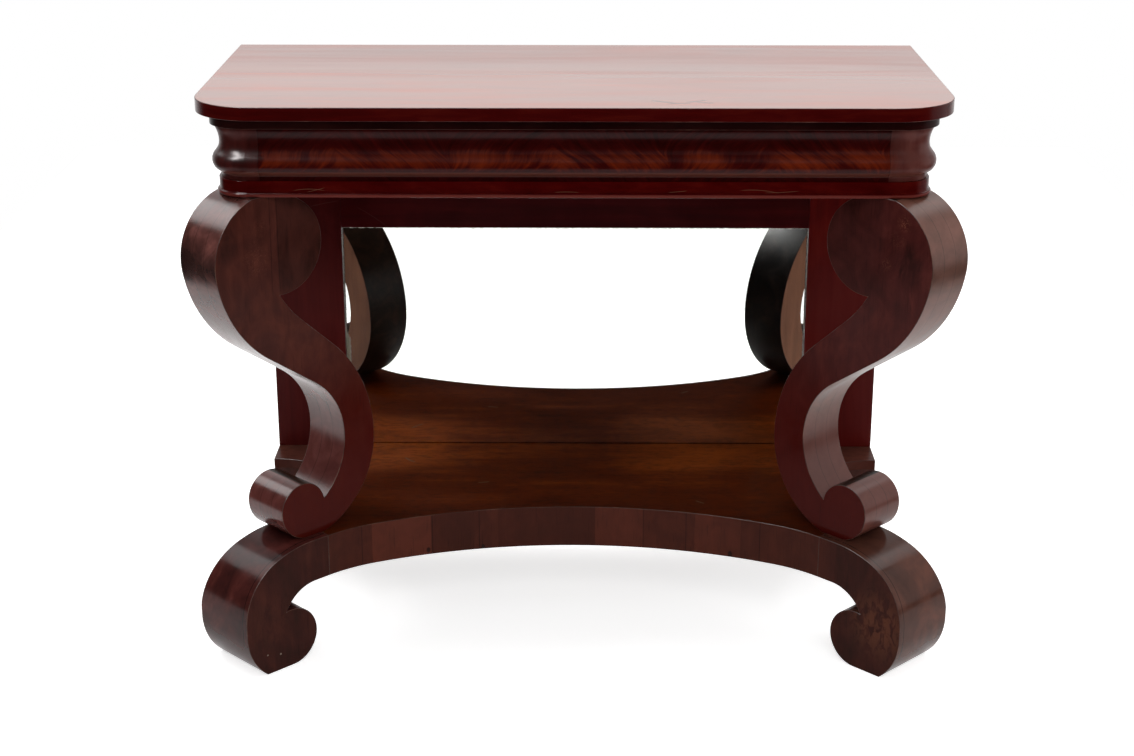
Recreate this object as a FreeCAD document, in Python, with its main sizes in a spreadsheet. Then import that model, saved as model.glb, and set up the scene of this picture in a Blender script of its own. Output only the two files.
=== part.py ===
"""Pier table: a console with a mirrored back, on two big diagonal scrolls.

The frame has its origin on the floor at the middle of the table's outline, with +X to the table's
right as its owner sees it from the front, +Y towards the wall and +Z up. Lengths are millimetres.
Every right-hand piece is modelled, and its left-hand twin is its mirror image.
"""
import FreeCAD, Part
import math
import os
import re
import Sketcher

doc = FreeCAD.newDocument("pier_table")

# ----------------------------------------------------------------------------------------------
# Driving dimensions
# ----------------------------------------------------------------------------------------------
DRIVING = [
    # the whole table
    ("top_width", 1100, "width of the top board"),
    ("top_depth", 506, "depth of the top board, from the wall"),
    ("full_height", 886, "floor to the upper face of the top"),
    ("shelf_height", 196, "floor to the upper face of the shelf"),
    # top board and the frame that it is screwed to
    ("top_thick", 20, "thickness of the top board"),
    ("top_corner", 95, "radius of the top's two front corners"),
    ("subtop_thick", 16, "thickness of the frame under the top"),
    ("subtop_inset", 22, "frame's edge behind the top's edge"),
    ("subtop_wide", 70, "width of the frame's boards"),
    # frieze: an ogee board over a plain band with a bead
    ("turn_inset", 78, "centre of the frieze's rounded corners, inside the top's edges"),
    ("frieze_inner", 58, "inner face of the frieze boards behind the top's edge"),
    ("ogee_tall", 78, "height of the ogee board"),
    ("band_tall", 24, "height of the lower band"),
    ("band_inset", 32, "band's face behind the top's edge"),
    ("bead_radius", 3.5, "radius of the bead along the band's foot"),
    ("neck_inset", 36, "narrow neck under the bulge, behind the top's edge"),
    ("neck_rise", 5, "height of the straight neck"),
    ("neck_radius", 4, "radius of the cove above the neck"),
    ("bulge_inset", 23, "fullest part of the bulge, behind the top's edge"),
    ("bulge_radius", 17.4, "radius of the bulge"),
    ("cove_inset", 34.5, "deepest part of the long cove, behind the top's edge"),
    ("cove_lower_radius", 20, "radius of the long cove where it leaves the bulge"),
    ("cove_upper_radius", 47, "radius of the long cove where it flares out"),
    ("lip_tall", 4, "straight lip over the long cove"),
    ("back_board_thick", 20, "thickness of the frieze's back board"),
    ("glue_block", 26, "side of the glue blocks inside the frieze"),
    ("glue_inner_across", 94, "inner glue blocks, from the middle"),
    ("glue_outer_across", 283, "outer glue blocks, from the middle"),
    # scroll supports: outlines measured inwards from the top's square corner, along the mitre
    ("scroll_thick", 87, "thickness of a scroll"),
    ("scroll_shift", 3.8, "scroll's middle plane in front of the mitre line"),
    ("shoulder_inset", 104, "centre of the shoulder, inside the corner"),
    ("shoulder_drop", 95, "centre of the shoulder, below the frieze"),
    ("shoulder_radius", 99, "radius of the shoulder"),
    ("shoulder_join", 16.5, "where the shoulder meets the long back, below its centre"),
    ("outer_straight", 99.6, "straight stretch of the outer edge"),
    ("waist_inset", 107, "centre of the waist's hollow, inside the corner"),
    ("waist_rise", 149, "centre of the waist's hollow, above the shelf"),
    ("waist_radius", 119.5, "radius of the waist's hollow"),
    ("toe_eye_inset", 141.5, "centre of the lower volute, inside the corner"),
    ("toe_eye_rise", 49, "centre of the lower volute, above the shelf"),
    ("toe_eye_radius", 41, "radius of the lower volute's upper turn"),
    ("toe_sole_radius", 50, "radius of the lower volute's lower turn"),
    ("belly_inset", 140, "centre of the belly, inside the corner"),
    ("belly_rise", 139, "centre of the belly, above the shelf"),
    ("belly_radius", 145, "radius of the belly"),
    ("inner_straight", 80.7, "straight stretch of the inner edge"),
    ("throat_inset", 277, "centre of the throat, inside the corner"),
    ("throat_drop", 61, "centre of the throat, below the frieze"),
    ("throat_radius", 184.5, "radius of the throat"),
    ("head_eye_inset", 123.4, "centre of the upper volute, inside the corner"),
    ("head_eye_drop", 79.4, "centre of the upper volute, below the frieze"),
    ("head_eye_radius", 74, "radius of the upper volute's inner turn"),
    ("head_crown_radius", 92, "radius of the upper volute's crown"),
    # base: a shelf on curved rails, two scrolled front feet and two block feet
    ("base_width", 1026, "width of the shelf and of the pilasters at the wall"),
    ("shelf_thick", 16, "thickness of the shelf board"),
    ("front_hollow", 117, "depth of the front's hollow, behind its joints with the feet"),
    ("sweep_turn", 25, "turn of the flatter middle arc of the front, degrees"),
    ("wing_depth", 107, "depth of the shelf's wings, from the wall"),
    ("wing_hollow", 70, "radius of the hollow between a wing and an arm"),
    ("rail_low", 128, "floor to the underside of the base rails"),
    ("front_rail_thick", 40, "thickness of the curved front rail"),
    ("side_rail_thick", 30, "thickness of the curved side rails"),
    ("back_rail_thick", 25, "thickness of the base's back rail"),
    ("arm_ledge", 17, "ledge of a foot's arm in front of the scroll"),
    ("arm_thick", 102, "thickness of a foot's arm"),
    ("foot_thick", 120, "thickness of a foot below its arm"),
    ("foot_full_height", 90, "floor to where a foot has its full thickness"),
    ("arm_joint_inset", 173.4, "joint between a foot and the rails, inside the corner"),
    ("arm_block_long", 70, "length of the block behind a foot"),
    ("foot_reach_inset", 12, "outermost part of a foot, inside the corner"),
    ("foot_brow_run", 30.4, "end of the foot's flat top, inside its upper turn's centre"),
    ("foot_crown_drop", 6, "top of the foot's upper turn, below the shelf"),
    ("foot_straight", 16.5, "straight stretch between the foot's two turns"),
    ("foot_lower_rise", 73.5, "centre of the foot's lower turn, above the floor"),
    ("foot_lower_radius", 95, "radius of the foot's lower turn"),
    ("foot_eye_inset", 97, "centre of the foot's volute, inside the corner"),
    ("foot_eye_radius", 47, "radius of the foot's volute"),
    ("foot_arch_inset", 145.5, "centre of the foot's arch, inside the corner"),
    ("foot_arch_radius", 65, "radius of the foot's arch"),
    ("rear_foot_wide", 72, "width of a rear foot"),
    # back: two pilasters, a rail and the mirror
    ("pilaster_wide", 122, "width of a pilaster"),
    ("pilaster_thick", 43, "thickness of a pilaster, from the wall"),
    ("mirror_rail_tall", 161, "height of the rail over the mirror"),
    ("rail_tenon", 25, "length of the mirror rail's tenons"),
    ("tenon_thick", 12, "thickness of the tenons"),
    ("tenon_shoulder", 20, "shoulder above and below a tenon"),
    ("glass_setback", 12, "mirror's face behind the pilasters' faces"),
    ("glass_thick", 4, "thickness of the mirror glass"),
    ("rebate_wide", 8, "width of the rebate that the glass lies in"),
    ("glass_play", 1.5, "room for the glass in its rebate"),
    ("backboard_thick", 9, "thickness of the boards behind the glass"),
    ("strip_side", 12, "side of the strips that hold the boards"),
    ("stop_rail_tall", 40, "height of the rail behind the foot of the glass"),
    # dowels and screws
    ("dowel_radius", 8, "radius of the scrolls' dowels"),
    ("dowel_deep", 40, "depth that a dowel enters each piece"),
    ("foot_dowel_inset", 156, "lower dowel, inside the corner"),
    ("head_dowel_inset", 93, "upper dowel, inside the corner"),
    ("screw_radius", 2.5, "radius of the screws in the top"),
    ("screw_head_radius", 4.5, "radius of the screws' heads"),
    ("screw_head_tall", 3, "height of the screws' heads"),
    ("front_screw_across", 378, "front screws, from the middle"),
    ("side_screw_back", 116, "side screws, in front of the wall"),
    ("screw_edge", 14, "screws inside the frame's inner edge"),
    ("screw_bite", 12, "depth that a screw enters the top board"),
    ("fit_gap", 0.1, "clearance round dowels, screws and tenons"),
]

# ----------------------------------------------------------------------------------------------
# Dimensions worked out from the driving ones
# ----------------------------------------------------------------------------------------------
DERIVED = [
    ("half_top", "top_width / 2", "half the top's width"),
    ("half_base", "base_width / 2", "half the base's width"),
    ("arm_front", "scroll_shift + scroll_thick / 2 + arm_ledge", "arm's front face ahead of the mitre"),
    ("arm_back", "arm_thick - arm_front", "arm's back face behind the mitre"),
    ("toe_lead", "(arm_front - foot_reach_inset) / sqrt(2)", "feet ahead of the top"),
    ("wall", "(top_depth + toe_lead) / 2", "the wall plane"),
    ("front_edge", "wall - top_depth", "front edge of the top"),
    ("top_underside", "full_height - top_thick", "underside of the top board"),
    ("ogee_top", "top_underside - subtop_thick", "upper edge of the ogee"),
    ("ogee_low", "ogee_top - ogee_tall", "lower edge of the ogee"),
    ("frieze_underside", "ogee_low - band_tall", "underside of the frieze"),
    ("corner_centre", "half_top - turn_inset", "centre of the frieze's corner, across"),
    ("corner_depth", "top_depth - turn_inset", "centre of the frieze's corner, from the wall"),
    ("frieze_half", "half_top - frieze_inner", "inner face of the side boards"),
    ("shelf_low", "shelf_height - shelf_thick", "underside of the shelf board"),
    ("rail_tall", "shelf_low - rail_low", "height of the base rails"),
    ("joint_front_across", "half_top - (arm_joint_inset + arm_front) / sqrt(2)", "joint's front end"),
    ("joint_front_along", "front_edge + (arm_joint_inset - arm_front) / sqrt(2)", "joint's front end"),
    ("joint_back_across", "half_top - (arm_joint_inset - arm_back) / sqrt(2)", "joint's back end"),
    ("joint_back_along", "front_edge + (arm_joint_inset + arm_back) / sqrt(2)", "joint's back end"),
    ("sweep_apex", "joint_front_along + front_hollow", "shelf's front edge at the middle"),
    ("turn_sin", "sin(sweep_turn)", "sine of the middle arc's turn"),
    ("turn_cos", "cos(sweep_turn)", "cosine of the middle arc's turn"),
    ("turn_rise", "turn_sin + turn_cos - 1", "how far the middle arc closes on the mitre"),
    ("sweep_gap", "joint_front_across - front_hollow", "mitre distance to close"),
    ("sweep_outer_radius",
     "(turn_rise * joint_front_across / turn_sin - sweep_gap)"
     " / (turn_rise * (sqrt(0.5) - turn_sin) / turn_sin - sqrt(2) + turn_sin + turn_cos)",
     "radius of the tighter outer arcs"),
    ("sweep_middle_radius",
     "(joint_front_across - sweep_outer_radius * (sqrt(0.5) - turn_sin)) / turn_sin",
     "radius of the flatter middle arc"),
    ("wing_edge", "wall - wing_depth", "front edge of the wings"),
    ("pilaster_face", "wall - pilaster_thick", "front faces of the pilasters"),
    ("pilaster_inner", "half_base - pilaster_wide", "inner edges of the pilasters"),
    ("pilaster_tall", "frieze_underside - shelf_height", "height of the pilasters"),
    ("glass_face", "pilaster_face + glass_setback", "mirror's face"),
    ("rebate_half", "pilaster_inner + rebate_wide", "outer wall of the glass rebate"),
    ("glass_half", "rebate_half - glass_play", "half the glass's width"),
    ("mirror_rail_low", "frieze_underside - mirror_rail_tall", "underside of the mirror rail"),
    ("glass_top", "mirror_rail_low + rebate_wide - glass_play", "upper edge of the glass"),
    ("backboard_face", "glass_face + glass_thick", "boards behind the glass"),
    ("strip_face", "backboard_face + backboard_thick", "strips behind the boards"),
    ("subtop_half", "half_top - subtop_inset", "half the frame's width"),
    ("subtop_corner", "turn_inset - subtop_inset", "radius of the frame's front corners"),
    ("foot_upper_radius", "shelf_height - foot_crown_drop - foot_straight - foot_lower_rise",
     "radius of the foot's upper turn"),
    ("foot_flat_inset", "foot_reach_inset + foot_upper_radius + foot_brow_run",
     "end of the foot's flat top, inside the corner"),
    ("rear_foot_inner", "half_base - rear_foot_wide", "inner face of a rear foot"),
]

sizes = doc.addObject("Spreadsheet::Sheet", "Sizes")
for row, (alias, value, note) in enumerate(DRIVING, start=1):
    sizes.set(f"A{row}", note)
    sizes.set(f"B{row}", str(value))
    sizes.setAlias(f"B{row}", alias)
doc.recompute()
HOME = {alias: "Sizes" for alias, _, _ in DRIVING}
HOME.update({alias: "Worked" for alias, _, _ in DERIVED})


def bound(text):
    """An expression on the sheet's aliases and the worked sizes, each with its object's name."""
    return re.sub(r"[a-z_]+", lambda word: f"{HOME[word[0]]}.{word[0]}" if word[0] in HOME else word[0],
                  text)


worked = doc.addObject("App::VarSet", "Worked")
for alias, formula, note in DERIVED:
    worked.addProperty("App::PropertyFloat", alias, "Worked", note)
    worked.setExpression(alias, bound(formula))
doc.recompute()


def size(alias):
    """The present value of a driving or a worked size."""
    return float(getattr(doc.getObject(HOME[alias]), alias))


def bind(thing, **places):
    """Binds properties to expressions; a double underscore stands for a dot."""
    for place, text in places.items():
        thing.setExpression(place.replace("__", "."), bound(text))
    return thing


# ----------------------------------------------------------------------------------------------
# Sketching
# ----------------------------------------------------------------------------------------------
START, END, CENTRE = 1, 2, 3

# Bearings in degrees: straight ahead of an arc's centre, along the mitre and back along it
AHEAD, MITRE, MITRE_INWARD = 90, 45, 225


def polar(centre, radius, degrees):
    """The point of a circle at an angle."""
    angle = math.radians(degrees)
    return centre[0] + radius * math.cos(angle), centre[1] + radius * math.sin(angle)


def bearing(origin, target):
    """The angle in degrees from one point to another."""
    return math.degrees(math.atan2(target[1] - origin[1], target[0] - origin[0]))


def crossing(centre, radius, other, other_radius, side):
    """Where two circles cross, on the left (+1) or right (-1) of the line between their centres."""
    apart = math.dist(centre, other)
    along = (apart**2 + radius**2 - other_radius**2) / (2 * apart)
    swing = math.degrees(math.acos(along / radius))
    return polar(centre, radius, bearing(centre, other) + side * swing)


def swept_radius(end, turn, circle, radius, straight):
    """The radius of an arc that leaves a point across a bearing and, after a straight, meets a circle."""
    across, up = end[0] - circle[0], end[1] - circle[1]
    angle = math.radians(turn)
    lean = across * math.cos(angle) + up * math.sin(angle)
    return (across**2 + up**2 - radius**2 - straight**2) / (2 * (lean + radius))


def tangent_bearing(circle, radius, other, other_radius):
    """Where the line that crosses between two circles leaves the first, as a bearing."""
    reach = (radius + other_radius) / math.dist(circle, other)
    return bearing(circle, other) + math.degrees(math.acos(reach))


class Outline:
    """A closed sketch outline, walked with the wood on its left, then sized from the sheet."""

    def __init__(self, body, plane, name):
        self.sketch = body.newObject("Sketcher::SketchObject", name)
        origin = next(item for item in body.Origin.OriginFeatures if item.Role == plane)
        self.sketch.AttachmentSupport = [(origin, "")]
        self.sketch.MapMode = "FlatFace"
        self.walk = []

    def line(self, start, end):
        """A straight stretch, walked from start to end."""
        geometry = Part.LineSegment(FreeCAD.Vector(*start, 0), FreeCAD.Vector(*end, 0))
        index = self.sketch.addGeometry(geometry, False)
        self.walk.append((index, START, END))
        return index

    def arc(self, centre, radius, first, last):
        """An arc, walked from the first angle to the last; it may run either way round."""
        circle = Part.Circle(FreeCAD.Vector(*centre, 0), FreeCAD.Vector(0, 0, 1), radius)
        low, high = sorted((math.radians(first), math.radians(last)))
        index = self.sketch.addGeometry(Part.ArcOfCircle(circle, low, high), False)
        self.walk.append((index, START, END) if last > first else (index, END, START))
        return index

    def close(self, smooth=()):
        """Joins each stretch to the next; the pairs in smooth are tangent where they meet."""
        for here, after in zip(self.walk, self.walk[1:] + self.walk[:1]):
            kind = "Tangent" if (here[0], after[0]) in smooth else "Coincident"
            self.rule(kind, here[0], here[2], after[0], after[1])

    def rule(self, kind, *where):
        """A constraint without a size."""
        return self.sketch.addConstraint(Sketcher.Constraint(kind, *where))

    def give(self, kind, *where, to):
        """A constraint whose size is an expression on the sheet."""
        index = self.rule(kind, *where, self.now(kind, where))
        self.sketch.setExpression(f"Constraints[{index}]", bound(to))

    def now(self, kind, where):
        """The present measure of what a constraint sizes."""
        if kind == "Radius":
            return self.sketch.Geometry[where[0]].Radius
        if kind == "Distance":
            return self.sketch.Geometry[where[0]].length()
        point = self.sketch.getPoint(*where)
        return point.x if kind == "DistanceX" else point.y

    def place(self, index, point, across=None, up=None):
        """Sets a point's two coordinates, each only where it is given."""
        if across is not None:
            self.give("DistanceX", index, point, to=across)
        if up is not None:
            self.give("DistanceY", index, point, to=up)


def new_body(name):
    return doc.addObject("PartDesign::Body", name)


def pad(body, outline, length, reversed_way=False, symmetric=False):
    """Raises a sketch into a board."""
    feature = body.newObject("PartDesign::Pad", body.Name + "_pad")
    feature.Profile = outline.sketch
    feature.Reversed = reversed_way
    if symmetric:
        feature.SideType = "Symmetric"
    bind(feature, Length=length)
    outline.sketch.Visibility = False
    return feature


# ----------------------------------------------------------------------------------------------
# Simple pieces, holes and twins
# ----------------------------------------------------------------------------------------------
nodes = {}


def keep(name, thing):
    """Makes an object a sub-part of the table."""
    thing.Label = name
    nodes[name] = thing
    return thing


def board(name, across, along, up, wide, deep, tall):
    """A square-edged board, placed by its lowest corner."""
    box = doc.addObject("Part::Box", name)
    bind(box, Length=wide, Width=deep, Height=tall)
    bind(box, Placement__Base__x=across, Placement__Base__y=along, Placement__Base__z=up)
    return box


def peg(name, across, along, up, radius, tall):
    """An upright round peg, placed by the middle of its foot."""
    cylinder = doc.addObject("Part::Cylinder", name)
    bind(cylinder, Radius=radius, Height=tall)
    bind(cylinder, Placement__Base__x=across, Placement__Base__y=along, Placement__Base__z=up)
    return cylinder


def cut(name, base, *tools):
    """One piece with others cut out of it."""
    result = base
    for count, tool in enumerate(tools):
        step = doc.addObject("Part::Cut", name if count == len(tools) - 1 else f"{name}_{count}")
        step.Base = result
        step.Tool = tool
        result = step
    return result


def joined(name, *pieces):
    """Pieces glued into one solid."""
    fused = doc.addObject("Part::MultiFuse", name)
    fused.Shapes = list(pieces)
    return fused


def group(name, pieces):
    """Like pieces kept as one sub-part of separate solids."""
    compound = doc.addObject("Part::Compound", name)
    compound.Links = list(pieces)
    return keep(name, compound)


def twin(name, thing):
    """The mirror image of a piece, on the other side of the table."""
    mirrored = doc.addObject("Part::Mirroring", name)
    mirrored.Source = thing
    mirrored.Base = (0, 0, 0)
    mirrored.Normal = (1, 0, 0)
    return mirrored


def pair(name, thing):
    """Keeps a right-hand piece and its left-hand twin."""
    keep(name + "_right", thing)
    keep(name + "_left", twin(name + "_left_twin", thing))


def on_mitre(thing, inset, ahead, up="0"):
    """Turns a piece's own X outwards along the right-hand mitre, with Y towards the wall."""
    thing.Placement.Rotation = FreeCAD.Rotation(FreeCAD.Vector(0, 0, 1), -MITRE)
    bind(
        thing,
        Placement__Base__x=f"half_top - (({inset}) + ({ahead})) / sqrt(2)",
        Placement__Base__y=f"front_edge + (({inset}) - ({ahead})) / sqrt(2)",
        Placement__Base__z=up,
    )
    return thing


# ----------------------------------------------------------------------------------------------
# Top board and the frame under it
# ----------------------------------------------------------------------------------------------
def rounded_board(name, half, edge, radius, deep, up, thick):
    """A board with two rounded front corners."""
    half_now = size(half)
    front = size("front_edge") + size("half_top") - half_now
    back = front + size(deep)
    round_now = size(radius)
    body = new_body(name)
    plan = Outline(body, "XY_Plane", name + "_plan")
    side = half_now - round_now
    front_line = plan.line((-side, front), (side, front))
    right = plan.arc((side, front + round_now), round_now, -90, 0)
    right_side = plan.line((half_now, front + round_now), (half_now, back))
    rear = plan.line((half_now, back), (-half_now, back))
    left_side = plan.line((-half_now, back), (-half_now, front + round_now))
    left = plan.arc((-side, front + round_now), round_now, 180, 270)
    plan.close(smooth=[(front_line, right), (right, right_side), (left_side, left), (left, front_line)])
    plan.give("Radius", right, to=radius)
    plan.give("Radius", left, to=radius)
    for index in (front_line, rear):
        plan.rule("Horizontal", index)
    for index in (right_side, left_side):
        plan.rule("Vertical", index)
    plan.place(right_side, START, across=half)
    plan.place(left_side, START, across=f"-1 * {half}")
    plan.place(front_line, START, up=edge)
    plan.place(rear, START, up=f"{edge} + {deep}")
    pad(body, plan, thick)
    bind(body, Placement__Base__z=up)
    return body


def top_and_frame():
    """The top board, the frame under it and the screws that draw them together."""
    top = rounded_board("top_blank", "half_top", "front_edge", "top_corner", "top_depth",
                        "top_underside", "top_thick")
    front = rounded_board("subtop_front_blank", "subtop_half", "front_edge + subtop_inset",
                          "subtop_corner", "subtop_wide", "ogee_top", "subtop_thick")
    side_deep = "top_depth - subtop_inset - subtop_wide"
    side_along = "front_edge + subtop_inset + subtop_wide"
    side = board("subtop_side_blank", "subtop_half - subtop_wide", side_along, "ogee_top",
                 "subtop_wide", side_deep, "subtop_thick")
    back = board("subtop_back_board", "subtop_wide - subtop_half", "wall - subtop_wide", "ogee_top",
                 "2 * (subtop_half - subtop_wide)", "subtop_wide", "subtop_thick")
    middle = board("subtop_middle", "-1 * subtop_wide / 2", side_along, "ogee_top",
                   "subtop_wide", "top_depth - subtop_inset - 2 * subtop_wide", "subtop_thick")
    spots = [
        ("-1 * front_screw_across", f"{side_along} - screw_edge", "front"),
        ("front_screw_across", f"{side_along} - screw_edge", "front"),
        ("subtop_half - subtop_wide + screw_edge", "wall - side_screw_back", "side")]
    screws, holes = {"front": [], "side": []}, {"front": [], "side": []}
    for count, (across, along, where) in enumerate(spots):
        shank = peg(f"screw_shank_{count}", across, along, "ogee_top", "screw_radius",
                    "subtop_thick + screw_bite")
        head = peg(f"screw_head_{count}", across, along, "ogee_top", "screw_head_radius",
                   "screw_head_tall")
        screws[where].append(joined(f"top_screw_{count}", shank, head))
        bore = peg(f"screw_bore_{count}", across, along, "ogee_top", "screw_radius + fit_gap",
                   "subtop_thick + screw_bite + fit_gap")
        sink = peg(f"screw_sink_{count}", across, along, "ogee_top", "screw_head_radius + fit_gap",
                   "screw_head_tall + fit_gap")
        holes[where].append(joined(f"screw_hole_{count}", bore, sink))
    left_holes = [twin(hole.Name + "_left", hole) for hole in holes["side"]]
    left_screws = [twin(screw.Name + "_left", screw) for screw in screws["side"]]
    keep("top_board", cut("top_board_cut", top, *holes["front"], *holes["side"], *left_holes))
    keep("subtop_front", cut("subtop_front_cut", front, *holes["front"]))
    pair("subtop_side", cut("subtop_side_cut", side, *holes["side"]))
    keep("subtop_back", back)
    keep("subtop_cross", middle)
    group("top_screws", screws["front"] + screws["side"] + left_screws)


# ----------------------------------------------------------------------------------------------
# Frieze mouldings: each profile is drawn with the top's edge at zero and the wood at minus
# ----------------------------------------------------------------------------------------------
def ogee_profile(body, plane):
    """A bulge between two coves, in a board that is flat behind."""
    tall, inner, lip = size("ogee_tall"), -size("frieze_inner"), size("lip_tall")
    neck, neck_round, rise = -size("neck_inset"), size("neck_radius"), size("neck_rise")
    bulge, cove_low = size("bulge_radius"), size("cove_lower_radius")
    cove_high = size("cove_upper_radius")
    neck_centre = (neck + neck_round, rise)
    bulge_across = -size("bulge_inset") - bulge
    reach = neck_round + bulge
    bulge_centre = (bulge_across, rise + math.sqrt(reach**2 - (neck_centre[0] - bulge_across)**2))
    low_across = -size("cove_inset") + cove_low
    reach = bulge + cove_low
    low_up = bulge_centre[1] + math.sqrt(reach**2 - (low_across - bulge_across)**2)
    low_centre = (low_across, low_up)
    high_centre = (-size("cove_inset") + cove_high, low_up)
    flare = 180 - math.degrees(math.asin((tall - lip - low_up) / cove_high))
    lip_across = polar(high_centre, cove_high, flare)[0]
    neck_turn = bearing(neck_centre, bulge_centre)
    bulge_turn = bearing(bulge_centre, low_centre)

    face = Outline(body, plane, body.Name + "_profile")
    foot = face.line((inner, 0), (neck, 0))
    straight = face.line((neck, 0), (neck, rise))
    hollow = face.arc(neck_centre, neck_round, 180, neck_turn)
    swell = face.arc(bulge_centre, bulge, neck_turn - 180, bulge_turn)
    cove = face.arc(low_centre, cove_low, bulge_turn + 180, 180)
    flared = face.arc(high_centre, cove_high, 180, flare)
    edge = face.line((lip_across, tall - lip), (lip_across, tall))
    head = face.line((lip_across, tall), (inner, tall))
    back = face.line((inner, tall), (inner, 0))
    face.close(smooth=[(straight, hollow), (hollow, swell), (swell, cove), (cove, flared)])
    for index in (foot, head):
        face.rule("Horizontal", index)
    for index in (straight, edge, back):
        face.rule("Vertical", index)
    face.place(foot, START, across="-1 * frieze_inner", up="0")
    face.place(straight, START, across="-1 * neck_inset")
    face.give("Radius", hollow, to="neck_radius")
    face.place(hollow, CENTRE, up="neck_rise")
    face.give("Radius", swell, to="bulge_radius")
    face.place(swell, CENTRE, across="-1 * bulge_inset - bulge_radius")
    face.give("Radius", cove, to="cove_lower_radius")
    face.place(cove, CENTRE, across="cove_lower_radius - cove_inset")
    face.give("Radius", flared, to="cove_upper_radius")
    face.rule("Horizontal", cove, CENTRE, flared, CENTRE)
    face.place(edge, START, up="ogee_tall - lip_tall")
    face.place(head, START, up="ogee_tall")
    return face


def band_profile(body, plane):
    """A flat band with a bead along its foot."""
    tall, inner, bead = size("band_tall"), -size("frieze_inner"), size("bead_radius")
    outer = -size("band_inset")
    face = Outline(body, plane, body.Name + "_profile")
    foot = face.line((inner, 0), (outer, 0))
    nose = face.arc((outer, bead), bead, -AHEAD, AHEAD)
    front = face.line((outer, 2 * bead), (outer, tall))
    head = face.line((outer, tall), (inner, tall))
    back = face.line((inner, tall), (inner, 0))
    face.close(smooth=[(foot, nose)])
    for index in (foot, head):
        face.rule("Horizontal", index)
    for index in (front, back):
        face.rule("Vertical", index)
    face.rule("Vertical", nose, CENTRE, front, START)
    face.place(foot, START, across="-1 * frieze_inner", up="0")
    face.give("Radius", nose, to="bead_radius")
    face.place(front, START, across="-1 * band_inset")
    face.place(head, START, up="band_tall")
    return face


def corner_profile(body, profile):
    """A moulding's profile carried on to the corner's centre, for a solid turned corner."""
    face = profile(body, "XZ_Plane")
    for index, piece in enumerate(face.sketch.Constraints):
        if piece.First == face.walk[0][0] and piece.Type == "DistanceX":
            face.sketch.setExpression(f"Constraints[{index}]", bound("-1 * turn_inset"))
    return face


def moulding(name, profile, up):
    """A moulding round the table: a straight front, two turned corners and two sides."""
    turn_back = FreeCAD.Rotation(FreeCAD.Vector(0, 0, 1), 180)
    front = new_body(name + "_front_body")
    pad(front, profile(front, "YZ_Plane"), "2 * corner_centre", symmetric=True)
    front.Placement.Rotation = turn_back
    bind(front, Placement__Base__y="front_edge", Placement__Base__z=up)
    side = new_body(name + "_side_body")
    pad(side, profile(side, "XZ_Plane"), "corner_depth", reversed_way=True)
    bind(side, Placement__Base__x="half_top", Placement__Base__z=up,
         Placement__Base__y="front_edge + turn_inset")
    corner = new_body(name + "_corner_body")
    face = corner_profile(corner, profile)
    axis = Part.LineSegment(FreeCAD.Vector(-size("turn_inset"), -1, 0),
                            FreeCAD.Vector(-size("turn_inset"), 1, 0))
    spindle = face.sketch.addGeometry(axis, True)
    face.rule("Vertical", spindle)
    face.place(spindle, START, across="-1 * turn_inset", up="-1")
    face.place(spindle, END, up="1")
    doc.recompute()
    turned = corner.newObject("PartDesign::Revolution", corner.Name + "_turned")
    turned.Profile = face.sketch
    turned.ReferenceAxis = (face.sketch, ["Axis0"])
    turned.Angle = 90
    turned.Reversed = True
    bind(corner, Placement__Base__x="half_top", Placement__Base__z=up,
         Placement__Base__y="front_edge + turn_inset")
    return front, side, corner


def frieze():
    """The ogee over its band, the back board and the glue blocks, bored for the upper dowels."""
    ogee_front, ogee_side, ogee_corner = moulding("ogee", ogee_profile, "ogee_low")
    band_front, band_side, band_corner = moulding("band", band_profile, "frieze_underside")
    bore = on_mitre(
        peg("head_dowel_hole", "0", "0", "0", "dowel_radius + fit_gap", "dowel_deep + fit_gap"),
        "head_dowel_inset", "scroll_shift", "frieze_underside")
    keep("frieze_front", ogee_front)
    pair("frieze_side", ogee_side)
    ogee_turn = cut("ogee_corner_bored", ogee_corner, bore)
    group("frieze_corners", [ogee_turn, twin("ogee_corner_left", ogee_turn)])
    keep("band_front", band_front)
    pair("band_side", band_side)
    band_turn = cut("band_corner_bored", band_corner, bore)
    group("band_corners", [band_turn, twin("band_corner_left", band_turn)])
    keep("frieze_back", board(
        "frieze_back_board", "-1 * frieze_half", "wall - back_board_thick", "frieze_underside",
        "2 * frieze_half", "back_board_thick", "ogee_top - frieze_underside"))
    behind = "front_edge + frieze_inner"
    blocks = [
        board("block_rear", "frieze_half - glue_block", "wall - back_board_thick - glue_block",
              "ogee_low", "glue_block", "glue_block", "ogee_tall"),
        board("block_outer", "glue_outer_across", behind, "ogee_low", "2 * glue_block",
              "glue_block", "ogee_tall"),
        board("block_inner", "glue_inner_across", behind, "ogee_low", "2 * glue_block",
              "glue_block", "ogee_tall"),
    ]
    blocks += [twin(block.Name + "_left", block) for block in blocks]
    group("frieze_glue_blocks", blocks)


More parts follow.
